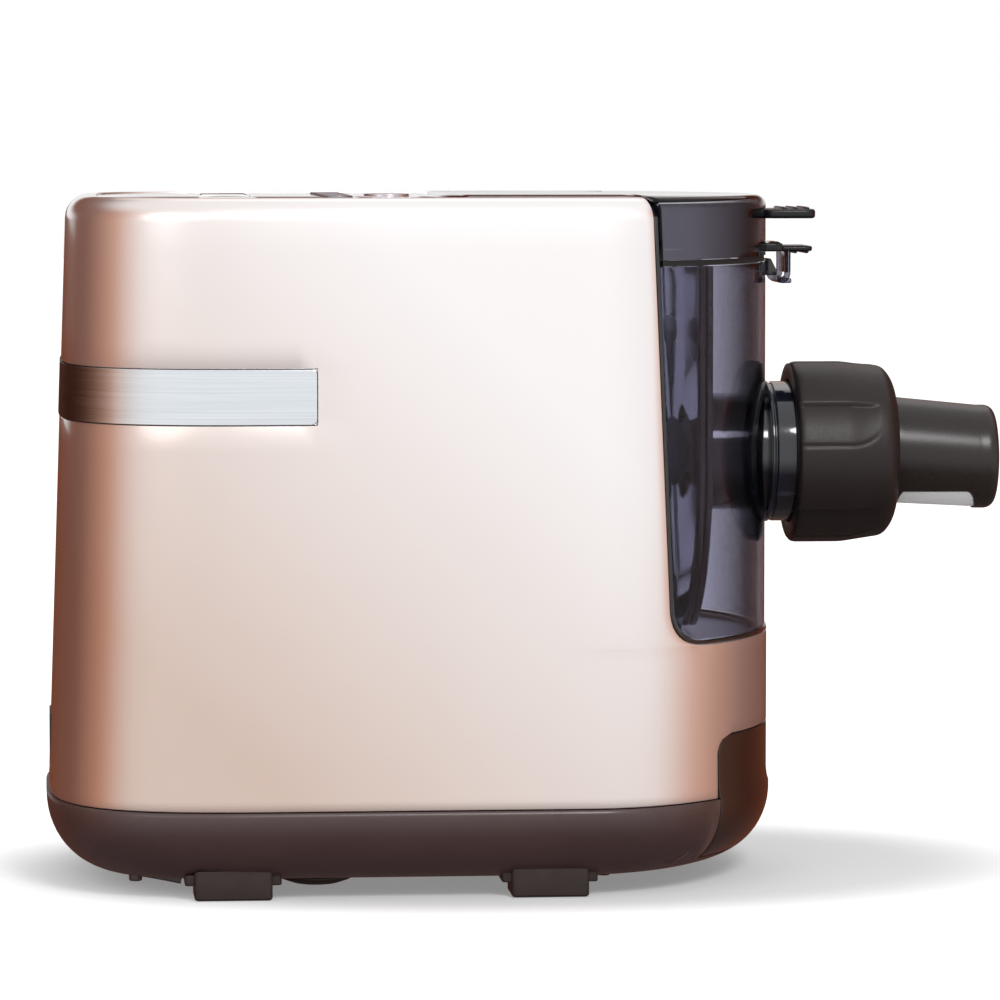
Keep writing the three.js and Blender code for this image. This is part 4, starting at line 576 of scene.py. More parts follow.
# Front cover: one bent sheet of smoky clear plastic, 2.5 mm thick, that fills the window from the rim
# on one side to the rim on the other. The barrel comes through a round hole at its middle.
axis = 0.166
cover_gap, cover_inset, cover_wall = 0.0021, 0.0008, 0.0025
cover_low, cover_high = window_low + cover_gap, 0.2422
hole_radius, patch_half = 0.0237, 0.031
patch_steps = 9
patch_rows = np.linspace(axis - patch_half, axis + patch_half, 2 * patch_steps + 1)
patch_widths = np.linspace(patch_half, 0, patch_steps + 1)
lower_rows = np.concatenate([cover_low + (window_corner - cover_gap) * np.linspace(0, 1, 11) ** 2,
                             np.linspace(window_corner_top, axis - patch_half, 5)[1:]])
higher_rows = np.linspace(axis + patch_half, cover_high, 10)


def cover_side(rows):
    """The cover from the window's edge to the patch round its hole."""
    start = turn_at_x(np.minimum(window_edge(rows, cover_gap), nose_centre + nose_depth - 0.0001))
    return between(start, turn_at_y(patch_half, rows), 30)


def cover_nose(rows):
    """The cover's side carried on over its nose to the plane of symmetry."""
    ahead = turn_at_y(patch_widths[None, 1:], rows[:, None])
    return skin(np.concatenate([cover_side(rows), ahead], 1), rows[:, None], cover_inset)


frame_width = np.concatenate([patch_widths[::-1], np.full(2 * patch_steps - 1, patch_half), patch_widths])
frame_level = np.concatenate([np.full(patch_steps + 1, patch_rows[-1]), patch_rows[-2:0:-1],
                              np.full(patch_steps + 1, patch_rows[0])])
bearing = np.arctan2(frame_width, frame_level - axis)
ring_share = np.linspace(0, 1, 8)[:, None]
ring_width = hole_radius * np.sin(bearing) * (1 - ring_share) + frame_width * ring_share
ring_level = axis + hole_radius * np.cos(bearing) * (1 - ring_share) + (frame_level - axis) * ring_share
round_hole = skin(turn_at_y(ring_width, ring_level), ring_level, cover_inset)


def smoky(name, tint, rough=0.03):
    """Clear plastic with a smoky tint, deeper where one looks along its wall, and a trace of moulding
    waves in its surface. Its refractive index is lower than the real one, so that reflections stay
    weak. Light on its way to what lies inside passes straight through."""
    made, tree, shader = new_look(name)
    for label, value in {"Transmission Weight": 1.0, "Metallic": 0.0, "IOR": 1.22}.items():
        shader.inputs[label].default_value = value
    slanting = node(tree, "ShaderNodeLayerWeight", {"Blend": 0.5}).outputs["Facing"]
    deep = linear(*(0.3 * value for value in tint))
    along = mixed(tree, ranged(tree, slanting, 0.0, 1.0, 0.32, 0.66), linear(*tint), deep)
    pattern = node(tree, "ShaderNodeGroup", {}, node_tree=grain)
    pattern.inputs["Scale"].default_value = 55.0
    waves = node(tree, "ShaderNodeBump", {
        "Height": pattern.outputs["Relief"], "Distance": 0.00002, "Strength": 0.5,
    }).outputs[0]
    haze = ranged(tree, pattern.outputs["Drift"], rough, rough + 0.04)
    for label, value in {"Base Color": along, "Roughness": haze, "Normal": waves}.items():
        tree.links.new(value, shader.inputs[label])
    ray = node(tree, "ShaderNodeLightPath").outputs
    straight = sums(tree, "MAXIMUM", ray["Is Shadow Ray"], ray["Is Diffuse Ray"])
    side_share = [share**0.25 for share in linear(*tint)[:3]]
    through = node(tree, "ShaderNodeBsdfTransparent", {0: (*side_share, 1.0)}).outputs[0]
    both = node(tree, "ShaderNodeMixShader", {0: straight, 1: shader.outputs[0], 2: through}).outputs[0]
    tree.links.new(both, tree.nodes["Material Output"].inputs[0])
    return made


cover_smoke = smoky("smoky_cover", (196, 196, 211))
beside_hole = skin(cover_side(patch_rows), patch_rows[:, None], cover_inset)
piece("front_cover_glass", [cover_nose(lower_rows), cover_nose(higher_rows), beside_hole, round_hole],
      cover_smoke, "body", "smoky_clear", "front_cover", mirror=True, wall=cover_wall, edge=0.0004, weld=2e-5)


# Lid: one smoky clear moulding. Its wide nose continues the cover up to a soft top edge, its
# narrower tail lies between the housing's shoulders, and a hinge barrel closes its rear end.
lid_low, lid_radius, lid_wall, lid_step = 0.245, 0.0045, 0.0025, 0.0026
tail_inset, tail_taper, hinge_x, hinge_z, hinge_radius = 0.0125, 0.0018, -0.030, 0.263, 0.006
lid_rows = np.linspace(lid_low, crown - lid_radius, 6)[:-1]
lid_levels, lid_insets = crown_rows(lid_rows, lid_radius, cover_inset, 8)
step_x = window_edge(lid_levels, lid_step)
nose_half = skin(between(turn_at_x(step_x), 0 * step_x, 44), lid_levels[:, None], lid_insets[:, None])
tail_in = tail_inset + tail_taper * (crown - lid_levels) / (crown - lid_low)
tail_x = between(np.full(len(lid_levels), hinge_x), step_x, 14)
tail_half = skin(turn_at_x(tail_x), lid_levels[:, None], tail_in[:, None])
lid_half = np.concatenate([tail_half, nose_half], 1)
lid_half = np.concatenate([lid_half, lid_half[-1:] * (1, 0, 1)])
lid_smoke = smoky("smoky_lid", (150, 149, 158))
piece("lid_glass", [lid_half], lid_smoke, "lid_body", "smoky_clear", "lid", mirror=True, wall=lid_wall,
      edge=0.0004)


# Lid hinge barrel and finger tab: the barrel turns on two steel pins in the housing's shoulders,
# and the tab stands out over the nose with three ridges for the finger. Both are moulded on.
def turned(profile, centre, along="X", steps=72):
    """A closed grid that turns a profile of (place, radius) about an axis through a centre."""
    place, radius = np.array(profile, float).T
    angle = np.linspace(0, 2 * np.pi, steps + 1)
    across = radius[:, None] * np.cos(angle), radius[:, None] * np.sin(angle)
    order = {"X": (0, 1, 2), "Y": (1, 2, 0), "Z": (2, 0, 1)}[along]
    points = np.empty((len(place), len(angle), 3))
    points[..., order[0]] = place[:, None]
    points[..., order[1]], points[..., order[2]] = across
    return points + centre


def eased(profile, radius, steps=4):
    """A profile with its inner corners rounded, by quadratic curves that start a radius from each."""
    corner = np.array(profile, float)
    path = [corner[0]]
    for before, here, after in zip(corner, corner[1:], corner[2:]):
        back, ahead = before - here, after - here
        start = here + back * min(0.45, radius / (np.hypot(*back) or 1))
        end = here + ahead * min(0.45, radius / (np.hypot(*ahead) or 1))
        for t in np.linspace(0, 1, steps):
            path.append((1 - t) ** 2 * start + 2 * t * (1 - t) * here + t**2 * end)
    return path + [corner[-1]]


def rod(start, end, radius, soft=0.0, steps=4):
    """The profile of a plain rod between two places, its rims rounded by a soft radius if it has one."""
    profile = [(start, 0), (start, radius), (end, radius), (end, 0)]
    return eased(profile, soft, steps) if soft else profile


def ridged(low, high, corner, soft, level, count, first):
    """Grids of a flat tab and of ridges that lie across it at a level, from its end backwards."""
    margin, ridge_radius, ridge_soft, pitch = 0.002, 0.0009, 0.0008, 0.0045
    ridge = rod(margin - high[1], high[1] - margin, ridge_radius, ridge_soft)
    return [slab(low, high, corner, soft)] + [
        turned(ridge, (high[0] - pitch * (i + first), 0, level), "Y", 16) for i in range(count)]


barrel_half = 0.0855
barrel_profile = rod(-barrel_half, barrel_half, hinge_radius, 0.0009)
piece("lid_barrel", [turned(barrel_profile, (hinge_x, 0, hinge_z), "Y", 40)], lid_smoke, "lid_body",
      "smoky_clear")

front_x, tab_reach, tab_half = 0.0972, 0.019, 0.016
tab_low, tab_high = 0.2594, 0.2631
tab_black = finish("tab_smoke_black", (17, 16, 19), (22, 20, 24), 0.34, edge=(46, 44, 50), Coat_Weight=0.1,
                   Specular_IOR_Level=0.3)
piece("lid_tab", ridged((front_x - 0.0022, -tab_half, tab_low), (front_x + tab_reach, tab_half, tab_high),
                        0.004, 0.0012, tab_high, 3, 0.75), tab_black, "lid_body", "black_trim")


# Outlet collar: a glossy dark navy sleeve that closes round the barrel, with a thin flange and a
# groove where it meets the cover. The nut's skirt hides its front end.
collar_radius, collar_rear, collar_front, collar_bore = 0.0282, 0.0975, 0.1345, 0.0237
collar_profile = eased([
    (collar_rear, collar_bore), (collar_rear, collar_radius), (collar_rear + 0.0011, collar_radius),
    (collar_rear + 0.0013, collar_radius - 0.0011), (collar_rear + 0.0021, collar_radius - 0.0011),
    (collar_rear + 0.0024, collar_radius - 0.0002), (collar_front - 0.001, collar_radius - 0.0002),
    (collar_front, collar_radius - 0.0012), (collar_front, collar_bore),
], 0.0004)
navy = finish("collar_gloss_navy", (20, 22, 32), (26, 29, 40), 0.12, scale=1200.0, relief=0.000004,
              edge=(96, 100, 118), Coat_Weight=1.0, Coat_Roughness=0.03, Specular_IOR_Level=0.3)
piece("outlet_sleeve", [turned(collar_profile + collar_profile[:1], (0, 0, axis), "X", 96)], navy, "body",
      "navy_collar", "outlet_collar")


# Retaining nut: a matt moulded ring with five grip flutes. Each flute falls in by a sharp step at
# its upper edge, climbs to a lower edge with a fine crease, and ends in a round run-out in front.
nut_rear, nut_front, nut_radius, nut_bore, spout_bore = 0.107, 0.1486, 0.0365, 0.0287, 0.0221
nut_outside = eased([
    (nut_rear + 0.0002, nut_radius - 0.0014), (nut_rear + 0.0014, nut_radius), (nut_rear + 0.0208, nut_radius),
    (nut_front - 0.0042, 0.034), (nut_front - 0.0014, 0.03075), (nut_front, 0.0275), (nut_front, 0.0245),
], 0.0022, 7)
nut_inside = eased([
    (nut_front, 0.0245), (nut_front, spout_bore), (nut_front - 0.005, spout_bore),
    (nut_front - 0.005, nut_bore), (nut_rear, nut_bore), (nut_rear, nut_bore + 0.0046),
    (nut_rear + 0.0002, nut_radius - 0.0014),
], 0.0006)
flute_count, flute_start, flute_width, flute_deep = 5, np.radians(7.5), np.radians(28), 0.0014
flute_end, flute_round = nut_front - 0.0085, 0.012
crease_width, crease_deep = np.radians(2.2), 0.0005


def about_axis(x, radius, angle):
    """Points about the nozzle's axis at places along it, by radius and by angle from the near side."""
    return np.stack([x + 0 * angle, -radius * np.cos(angle), axis + radius * np.sin(angle)], -1)


def fluted(profile, steps=360):
    """The outside turned about the nut's axis, and its radius less by the flutes: each falls from its
    upper edge by an eased step, then climbs evenly to nothing, and its end is drawn in by a circle.
    A fine crease, bell-shaped in section, runs along each flute's edge."""
    grid = np.array(profile, float)
    extra = [np.linspace(a, b, 12, endpoint=False) if b[0] - a[0] > 0.004 else a[None]
             for a, b in zip(grid, grid[1:])]
    grid = np.concatenate(extra + [grid[-1:]])
    x, radius = grid[:, :1], grid[:, 1:]
    angle = np.linspace(0, 2 * np.pi, steps + 1)[None]
    place = np.mod(angle - flute_start, 2 * np.pi / flute_count)
    share = np.clip(place / flute_width, 0, 1)
    run_out = np.clip((x - flute_end + flute_round) / flute_round, 0, 1)
    lift = 1 - np.sqrt(np.clip(1 - run_out**2, 0, 1))
    inside = np.clip((share - lift * 0.5) / (1 - lift * 0.5 + 1e-6), 0, 1)
    fall = np.clip((1 - inside) / 0.09, 0, 1)
    radius = radius - flute_deep * inside**0.9 * fall**2 * (3 - 2 * fall) * (1 - run_out**4)
    edge_place = place + crease_width / 2 - lift * flute_width * 0.5
    for turn in (0, 2 * np.pi / flute_count):
        bell = np.exp(-(((edge_place - turn) / crease_width * 2) ** 2))
        radius = radius - crease_deep * bell * (1 - run_out**6)
    return about_axis(x, radius, angle)


inner_points = np.array(nut_inside)
inner_ring = about_axis(inner_points[:, :1], inner_points[:, 1:], np.linspace(0, 2 * np.pi, 361)[None])
nut_brown = finish("nut_matt_brown", (42, 34, 32), (36, 29, 28), 0.42, scale=2600.0, relief=0.00003,
                   edge=(26, 21, 20), spread=0.08, Specular_IOR_Level=0.32)
piece("grip_nut", [fluted(nut_outside), inner_ring], nut_brown, "nut_body", "brown_nut", "retaining_nut")


# Spout: a tapered satin tube that dips a little, cut away below from the nut to its hooked lip.
# Its section is an open ring whose opening grows from nothing at either end of the cut. The flange
# at its rear is held by the nut.
spout_rear, spout_flange_front, spout_flange_radius = 0.1401, 0.1433, 0.027
spout_radius, spout_slimmer, spout_dip, spout_wall = 0.0216, 0.0008, 0.0026, 0.0032
taper_end, tip_start = 0.183, 0.186
cut_start, cut_ease, cut_end, cut_depth, cut_round = 0.1501, 0.0015, 0.182, 0.0162, 0.0045
quarter = np.pi / 2
spout_places = np.unique(np.concatenate([
    [spout_rear, spout_flange_front, nut_front, taper_end],
    np.linspace(nut_front, cut_start, 3), cut_start + cut_ease * (1 - np.cos(np.linspace(0, quarter, 6))),
    np.linspace(cut_start + cut_ease, cut_end - cut_round, 12),
    cut_end - cut_round + cut_round * np.sin(np.linspace(0, quarter, 10)), np.linspace(cut_end, tip_start, 5),
]))


def spout_size(x):
    """The spout's radius and its dip at a place along it."""
    share = np.clip((x - nut_front) / (taper_end - nut_front), 0, 1)
    return spout_radius - spout_slimmer * share, spout_dip * share


def opening(x):
    """Half the angle that the cut opens, measured from straight below, at each place."""
    radius, dip = spout_size(x)
    full = np.arccos(np.clip((cut_depth - dip) / radius, -1, 1))
    ahead = np.sqrt(np.clip(1 - ((x - cut_end + cut_round) / cut_round).clip(0, 1) ** 2, 0, 1))
    behind = np.sqrt(np.clip(1 - ((cut_start + cut_ease - x) / cut_ease).clip(0, 1) ** 2, 0, 1))
    return full * ahead * behind * ((x > cut_start) & (x < cut_end))


def hung(x, radius, angle, dip):
    """Points about the spout's line at a place, by radius and by angle from straight below."""
    return np.stack([x + 0 * radius * angle, -radius * np.sin(angle), axis - dip - radius * np.cos(angle)], -1)


def ring_section(x, outer, inner, half_open, dip, steps=48):
    """Points round a wall between two radii, open below by an angle to each side: out over the
    outside, a rounded end, back over the inside and a rounded end."""
    middle, thick = (outer + inner) / 2, (outer - inner) / 2
    around = np.linspace(0, 1, steps + 1)
    start = half_open + thick / middle * (half_open > 1e-6) * 0.5
    angle = start + (2 * np.pi - 2 * start) * around
    bend = np.linspace(0, np.pi, 7)[1:-1]
    radii = np.concatenate([np.full(steps + 1, outer), middle + thick * np.cos(bend),
                            np.full(steps + 1, inner), middle - thick * np.cos(bend)])
    swell = thick / middle * (half_open > 1e-6) * 0.5 * np.sin(bend)
    angles = np.concatenate([angle, 2 * np.pi - start + swell, angle[::-1], start - swell])
    ring = hung(x, radii, angles, dip)
    return np.concatenate([ring, ring[:1]])


# The tip's rings: how far each lies ahead, and how much less than the tube its outside is
tip = [(0.0012, 0.00015), (0.0024, 0.0006), (0.0033, 0.0013), (0.0038, 0.0021), (0.004, 0.0032)]
tip_radius, bore_flare = spout_radius - spout_slimmer, 0.0004
rings = []
for x in spout_places:
    radius, dip = spout_size(x)
    rings.append(ring_section(x, radius, radius - spout_wall, float(opening(x)), dip))
for ahead, less in tip:
    outer_radius = tip_radius - less
    inner_radius = min(tip_radius - spout_wall + bore_flare * ahead / tip[-1][0], outer_radius - 1e-6)
    rings.append(ring_section(tip_start + ahead, outer_radius, inner_radius, 0.0, spout_dip))
spout = np.stack(rings)
first = spout[:1].copy()
cap_radius = spout_radius - spout_wall / 2
first_angle = np.arctan2(-first[..., 1], axis - first[..., 2])
first[..., 1], first[..., 2] = -cap_radius * np.sin(first_angle), axis - cap_radius * np.cos(first_angle)
flange_bore = 0.0205
spout_flange = eased([(spout_rear, flange_bore), (spout_rear, spout_flange_radius),
                      (spout_flange_front, spout_flange_radius), (spout_flange_front, flange_bore)], 0.0004)
spout_brown = finish("spout_satin_brown", (45, 37, 35), (39, 33, 31), 0.28, scale=1600.0, relief=0.000003,
                     edge=(104, 96, 90), spread=0.01, Specular_IOR_Level=0.4)
piece("spout_shell", [np.concatenate([first, spout]), turned(spout_flange, (0, 0, axis), "X", 72)],
      spout_brown, "spout_body", "brown_nozzle", "spout_cover")


# Inner sleeve: a white tube inside the spout that the strands run through. Where the spout is cut
# away, the sleeve swells to fill the opening.
sleeve_gap, sleeve_wall, fill_proud, arc_steps = 0.0003, 0.0022, 0.0006, 21
around = np.linspace(0, 2 * np.pi, 73)
outside, inside = [], []
for x in np.linspace(0.1404, 0.1894, 30):
    radius, dip = spout_size(x)
    outside.append(hung(x, radius - spout_wall - sleeve_gap, around, dip))
    inside.append(hung(x, radius - spout_wall - sleeve_gap - sleeve_wall, around, dip))
loop = np.stack([*outside, *inside[::-1], outside[0]])
fill = []
for x in np.linspace(cut_start + 0.0004, cut_end - 0.0004, 24):
    radius, dip = spout_size(x)
    half = max(float(opening(x)) - 0.012, 0.02)
    arc = np.linspace(-half, half, arc_steps)
    top_radius = radius - spout_wall - sleeve_gap - fill_proud
    bottom_radius = radius - fill_proud
    radii = np.concatenate([np.full(arc_steps, bottom_radius), np.full(arc_steps, top_radius), [bottom_radius]])
    fill.append(hung(x, radii, -np.concatenate([arc, arc[::-1], arc[:1]]), dip))
fill = np.stack(fill)
heel, toe = fill[:1].mean(1, keepdims=True) + 0 * fill[:1], fill[-1:].mean(1, keepdims=True) + 0 * fill[-1:]
sleeve_white = finish("sleeve_white", (248, 248, 248), (242, 242, 243), 0.38, scale=1400.0, relief=0.00001,
                      edge=(244, 244, 244))
piece("white_sleeve", [loop, np.concatenate([heel, fill, toe])], sleeve_white, "spout_body", "white_plastic",
      "spout_sleeve")


# Pegs under the base: four short moulded pegs of the tray's own plastic, that key it in its
# packing. They stand on the tray's flat bottom and end above the table.
peg_profile = eased([(0.0048, 0), (0.0048, 0.0025), (0.0082, 0.0027), (0.0082, 0)], 0.0006)
pegs = [turned(peg_profile, (x, y, 0), "Z", 32) for x in (-0.156, 0.026) for y in (-0.066, 0.066)]
piece("base_pegs", pegs, base_brown, "body", "brown_base")


# Feet: dark rubber blocks let into the base's flank, each with a thin flange at either end, and
# two shallow round pads between them
sides = (("left", 1), ("right", -1))
foot_length, foot_inner, foot_outer, foot_top, flange_reach = 0.030, 0.070, 0.092, 0.013, 0.0036
foot_rubber = finish("foot_rubber", (42, 25, 23), (35, 22, 20), 0.6, scale=2200.0, edge=(74, 62, 58))


def under_flank(grid):
    """A grid held below the base's flank: its top is taken down to the flank's level at each place."""
    into = np.clip((side_half + base_out - np.abs(grid[..., 1:2])) / base_in, 0, 1)
    level = base_low + base_high * (1 - np.sqrt(1 - (1 - into) ** 2))
    return np.concatenate([grid[..., :2], np.minimum(grid[..., 2:], level + 0.0004)], -1)


for place, x in (("rear", -0.119), ("front", 0.003)):
    for name, side in sides:
        near, away = sorted((side * foot_inner, side * foot_outer))
        half = foot_length / 2
        block = slab((x - half, near, 0), (x + half, away, foot_top), 0.002, 0.0012)
        flange = slab((x - half - flange_reach, near + wall, 0.0055),
                      (x + half + flange_reach, away - wall, 0.0116), 0.0015, 0.0006)
        piece(f"rubber_foot_{place}_{name}", [under_flank(block), under_flank(flange)], foot_rubber, "body",
              "foot_rubber", f"foot_{place}_{name}")

pad_profile = eased([(0.0024, 0), (0.0030, 0.0085), (0.0050, 0.0142), (0.0067, 0.0145), (0.0067, 0)], 0.0012, 6)
for name, side in sides:
    piece(f"pad_{name}", [turned(pad_profile, (-0.086, side * 0.063, 0), "Z", 64)], foot_rubber, "body",
          "foot_rubber", f"round_pad_{name}")


# Rear strips: a thin sloping fin on each side, moulded with the base in its brown plastic. It runs
# from the rear peg forward to the flange of the foot.
def swept(path, thick, low, high, soft):
    """A closed grid of a rounded strip that follows a path in X and Z, as thick as given, from one Y
    to another; its ends run in to a middle point."""
    path = np.array(path, float)
    along = np.gradient(path, axis=0)
    along /= np.hypot(*along.T)[:, None]
    normal = np.column_stack([-along[:, 1], along[:, 0]])
    section = slab((-thick / 2, low, -1), (thick / 2, high, 1), soft, 0.0, 4)[2]
    middle = (low + high) / 2
    whole = [(1.0, index) for index in range(len(path) - 1)]
    rows = []
    for share, index in [(0.0, 0), (0.75, 0), *whole, (1.0, -1), (0.75, -1), (0.0, -1)]:
        y = middle + (section[:, 1] - middle) * share
        flat = path[index] + section[:, :1] * share * normal[index]
        rows.append(np.column_stack([flat[:, 0], y, flat[:, 1]]))
    return np.stack(rows)


fin_path = [(-0.1535, 0.0086), (-0.1490, 0.0078), (-0.1440, 0.0068), (-0.1385, 0.0056)]
fin_thick, fin_inner, fin_outer = 0.0028, 0.068, 0.073
for name, side in sides:
    near, away = sorted((side * fin_inner, side * fin_outer))
    piece(f"rear_fin_{name}", [swept(fin_path, fin_thick, near, away, 0.0006)], base_brown, "body",
          "brown_base")


# Latch: a smoky clear stirrup on a pin between two ears under the lid's tab. Its own tab is squeezed
# up towards the lid's, and its two legs, the web between them and the cross bar swing out from
# round the wedge on the cover.
def prism(outline, low, high, soft, along="Y"):
    """A closed grid of a convex outline, in X and Z or in Y and Z, carried along the third axis from
    one place to another, with its rims rounded."""
    outline = np.array(outline, float)
    middle = outline.mean(0)
    size = np.hypot(*(outline - middle).T).mean()
    rows = []
    for place, inset in [(low, size), (low, soft), (low + 0.3 * soft, 0.3 * soft), (low + soft, 0),
                         (high - soft, 0), (high - 0.3 * soft, 0.3 * soft), (high, soft), (high, size)]:
        flat = middle + (outline - middle) * (1 - inset / size)
        deep = np.full(len(flat), place)
        rows.append(np.column_stack([flat[:, 0], deep, flat[:, 1]] if along == "Y" else [deep, flat]))
    grid = np.stack(rows)
    return np.concatenate([grid, grid[:, :1]], 1)


latch_x, latch_z, latch_half = 0.1008, 0.2484, 0.0135
leg_x, leg_low, leg_wide, leg_thick = 0.10515, 0.2336, 0.004, 0.0022
knee_z, knee_x, knee_deep, heel_reach, heel_rise = 0.2375, 0.0023, 0.0026, 0.0016, 0.0018
bend = np.linspace(0, np.pi / 2, 6)
leg_path = [(leg_x, z) for z in np.linspace(0.2470, knee_z, 6)]
leg_path += [(leg_x - knee_x * (1 - np.cos(a)), knee_z - knee_deep * np.sin(a)) for a in bend[1:]]
leg_path += [(leg_x - knee_x - heel_reach * np.sin(a), knee_z - knee_deep + heel_rise * (1 - np.cos(a)))
             for a in bend[1:]]
web_half = latch_half - 0.0036
piece("latch_stirrup", [
    turned(rod(-latch_half, latch_half, 0.0018, 0.0006), (latch_x, 0, latch_z), "Y", 32),
    swept(leg_path, leg_thick, -latch_half, leg_wide - latch_half, 0.0005),
    swept(leg_path, leg_thick, latch_half - leg_wide, latch_half, 0.0005),
    slab((0.1046, -web_half, 0.2378), (0.1057, web_half, 0.2466), 0.0004, 0.0003),
    slab((0.1019, -latch_half, leg_low), (0.1067, latch_half, leg_low + 0.002), 0.0009, 0.0007),
], smoky("smoky_latch", (120, 118, 132)), "latch_body", "smoky_clear", "lid_latch")

latch_tab_low = 0.2463
piece("latch_tab", ridged((latch_x, -latch_half, latch_tab_low), (front_x + 0.018, latch_half, latch_z),
                          0.003, 0.0008, latch_tab_low, 2, 0.5), tab_black, "latch_body", "black_trim")

ears = []
for side in (-1, 1):
    near, away = sorted((side * (latch_half + 0.0003), side * (latch_half + 0.0029)))
    ears.append(slab((front_x - 0.002, near, latch_z - 0.0021), (latch_x + 0.0019, away, latch_z + 0.0012),
                     0.0009, 0.0007))
piece("latch_ears", ears, tab_black, "lid_body", "black_trim")

catch_outline = [(0.0975, 0.2366), (0.1012, 0.2366), (0.1014, 0.2369), (0.1014, 0.2385), (0.1012, 0.2389),
                 (0.0992, 0.2430), (0.0989, 0.2433), (0.0975, 0.2433)]
catch_half = 0.0086
piece("catch_wedge", [prism(catch_outline, -catch_half, catch_half, 0.0005)], rim_black, "body", "black_trim",
      "latch_catch")


# Top panel: a gloss black moulding let into the housing's top, with a soft edge, round holes for
# the keys and a window for the display
panel_top, panel_low, panel_inset, panel_front, panel_soft = 0.2686, 0.2632, 0.0125, -0.0366, 0.0008
turn = np.linspace(0, np.pi / 2, 5)
panel_edge = panel_top - panel_soft + panel_soft * np.sin(turn)
panel_levels = np.concatenate([[panel_low, panel_low + 0.002], panel_edge])
panel_insets = panel_inset + np.concatenate([[0, 0], panel_soft * (1 - np.cos(turn))])
panel_turns = np.concatenate([np.linspace(float(turn_at_x(panel_front)), 2, 14)[:-1], tail_turns])
panel_side = skin(panel_turns, panel_levels[:, None], panel_insets[:, None])
panel_grid = np.concatenate([panel_side, panel_side[-1:] * (1, 0, 1)])
key_x, key_pitch, key_radius, start_x, start_radius = -0.076, 0.022, 0.006, -0.054, 0.009
lens_x, lens_length, lens_half = -0.118, 0.009, 0.028
clear, cut_low, cut_high = 0.0003, 0.262, 0.272
key_places = [(f"key_{i + 1}", key_x, (i - 2) * key_pitch, key_radius) for i in range(5)]
key_places.append(("start_button", start_x, 0.0, start_radius))
holes = [turned(rod(cut_low, cut_high, radius + clear), (x, y, 0), "Z", 64)
         for name, x, y, radius in key_places]
holes.append(slab((lens_x - lens_length - clear, -lens_half - clear, cut_low),
                  (lens_x + lens_length + clear, lens_half + clear, cut_high), 0.003, 0.0))
panel_black = finish("panel_gloss_black", (20, 19, 22), (26, 24, 28), 0.14, scale=1300.0, relief=0.000003,
                     edge=(70, 68, 74), Coat_Weight=0.8, Coat_Roughness=0.03)
piece("control_panel", [panel_grid], panel_black, "body", "black_panel", "top_panel", mirror=True,
      wall=0.0026, edge=0.0003, cutters=holes)


# Display window: a dark clear pane of hard plastic, pressed in flush with the panel. It is made as
# a dark gloss block, since nothing shows behind it while the machine is off.
lens_low = 0.2657
pane_look = finish("display_pane_dark", (9, 10, 13), (12, 13, 17), 0.06, scale=700.0, relief=0.000001,
                   edge=(40, 42, 48), Coat_Weight=1.0, Coat_Roughness=0.02)
pane = slab((lens_x - lens_length, -lens_half, lens_low), (lens_x + lens_length, lens_half, panel_top),
            0.0028, 0.0006)
piece("display_pane", [pane], pane_look, "body", "display_window", "display_lens")


# Keys: five round keys and a larger start button, each with a dished top that stands half a
# millimetre proud, on a collar and a stem under the panel
key_grey = finish("key_satin_grey", (150, 146, 150), (140, 136, 141), 0.3, scale=1800.0, relief=0.000006,
                  edge=(196, 192, 196), Metallic=0.6)
start_silver = finish("start_satin_silver", (206, 200, 206), (194, 189, 196), 0.26, scale=1800.0,
                      relief=0.000005, edge=(226, 190, 170), Metallic=0.85)
key_top, dish_deep, collar_top, collar_low, collar_wide = panel_top + 0.0006, 0.0006, 0.2645, 0.2633, 0.0012
stem_low, stem_radius = 0.2552, 0.002
for name, x, y, radius in key_places:
    dish = [(key_top - dish_deep * np.cos(t * np.pi / 2), radius * 0.82 * t) for t in np.linspace(0, 1, 9)]
    profile = dish + eased([
        (key_top, radius * 0.86), (key_top, radius), (collar_top, radius), (collar_top, radius + collar_wide),
        (collar_low, radius + collar_wide), (collar_low, stem_radius), (stem_low, stem_radius), (stem_low, 0.0),
    ], 0.0004)
    look, body = (start_silver, "start_body") if name == "start_button" else (key_grey, f"{name}_body")
    piece(f"{name}_cap", [turned(profile, (x, y, 0), "Z", 64)], look, body, "key_caps", name)


# Mixing tub: a smoky trough with a round bottom that lies along the drive's axis, open on top and
# in front. A flat rim reaches out to the housing's shoulders, and a flange meets the front plate.
tub_radius, tub_wall, tub_rear, tub_front, tub_top = 0.0665, 0.0025, -0.0392, 0.0645, 0.2422
ledge_x, flange_radius, coupling_hole = -0.027, 0.072, 0.0095
rise = np.linspace(tub_top, axis, 9)[:-1]
half_turn = np.linspace(0, np.pi, 61)
trough_y = np.concatenate([0 * rise - tub_radius, -tub_radius * np.cos(half_turn), 0 * rise + tub_radius])
trough_z = np.concatenate([rise, axis - tub_radius * np.sin(half_turn), rise[::-1]])
trough_x = np.linspace(tub_rear, tub_front, 16)
trough = np.stack(np.broadcast_arrays(trough_x[:, None], trough_y[None], trough_z[None]), -1)
rear_rings = [np.stack([0 * trough_y + tub_rear, trough_y * s, axis + (trough_z - axis) * s], -1)
              for s in np.linspace(1, 0.2, 6)]
bearing = np.arctan2(trough_y, trough_z - axis)
bearing_y, bearing_z = coupling_hole * np.sin(bearing), axis + coupling_hole * np.cos(bearing)
rear_wall = np.stack([*rear_rings, np.stack([0 * bearing + tub_rear, bearing_y, bearing_z], -1)])
tub_smoke = smoky("smoky_tub", (226, 226, 234))
piece("mixing_tub", [trough, rear_wall], tub_smoke, "body", "smoky_clear", "cup_tub", wall=tub_wall,
      edge=0.0004)

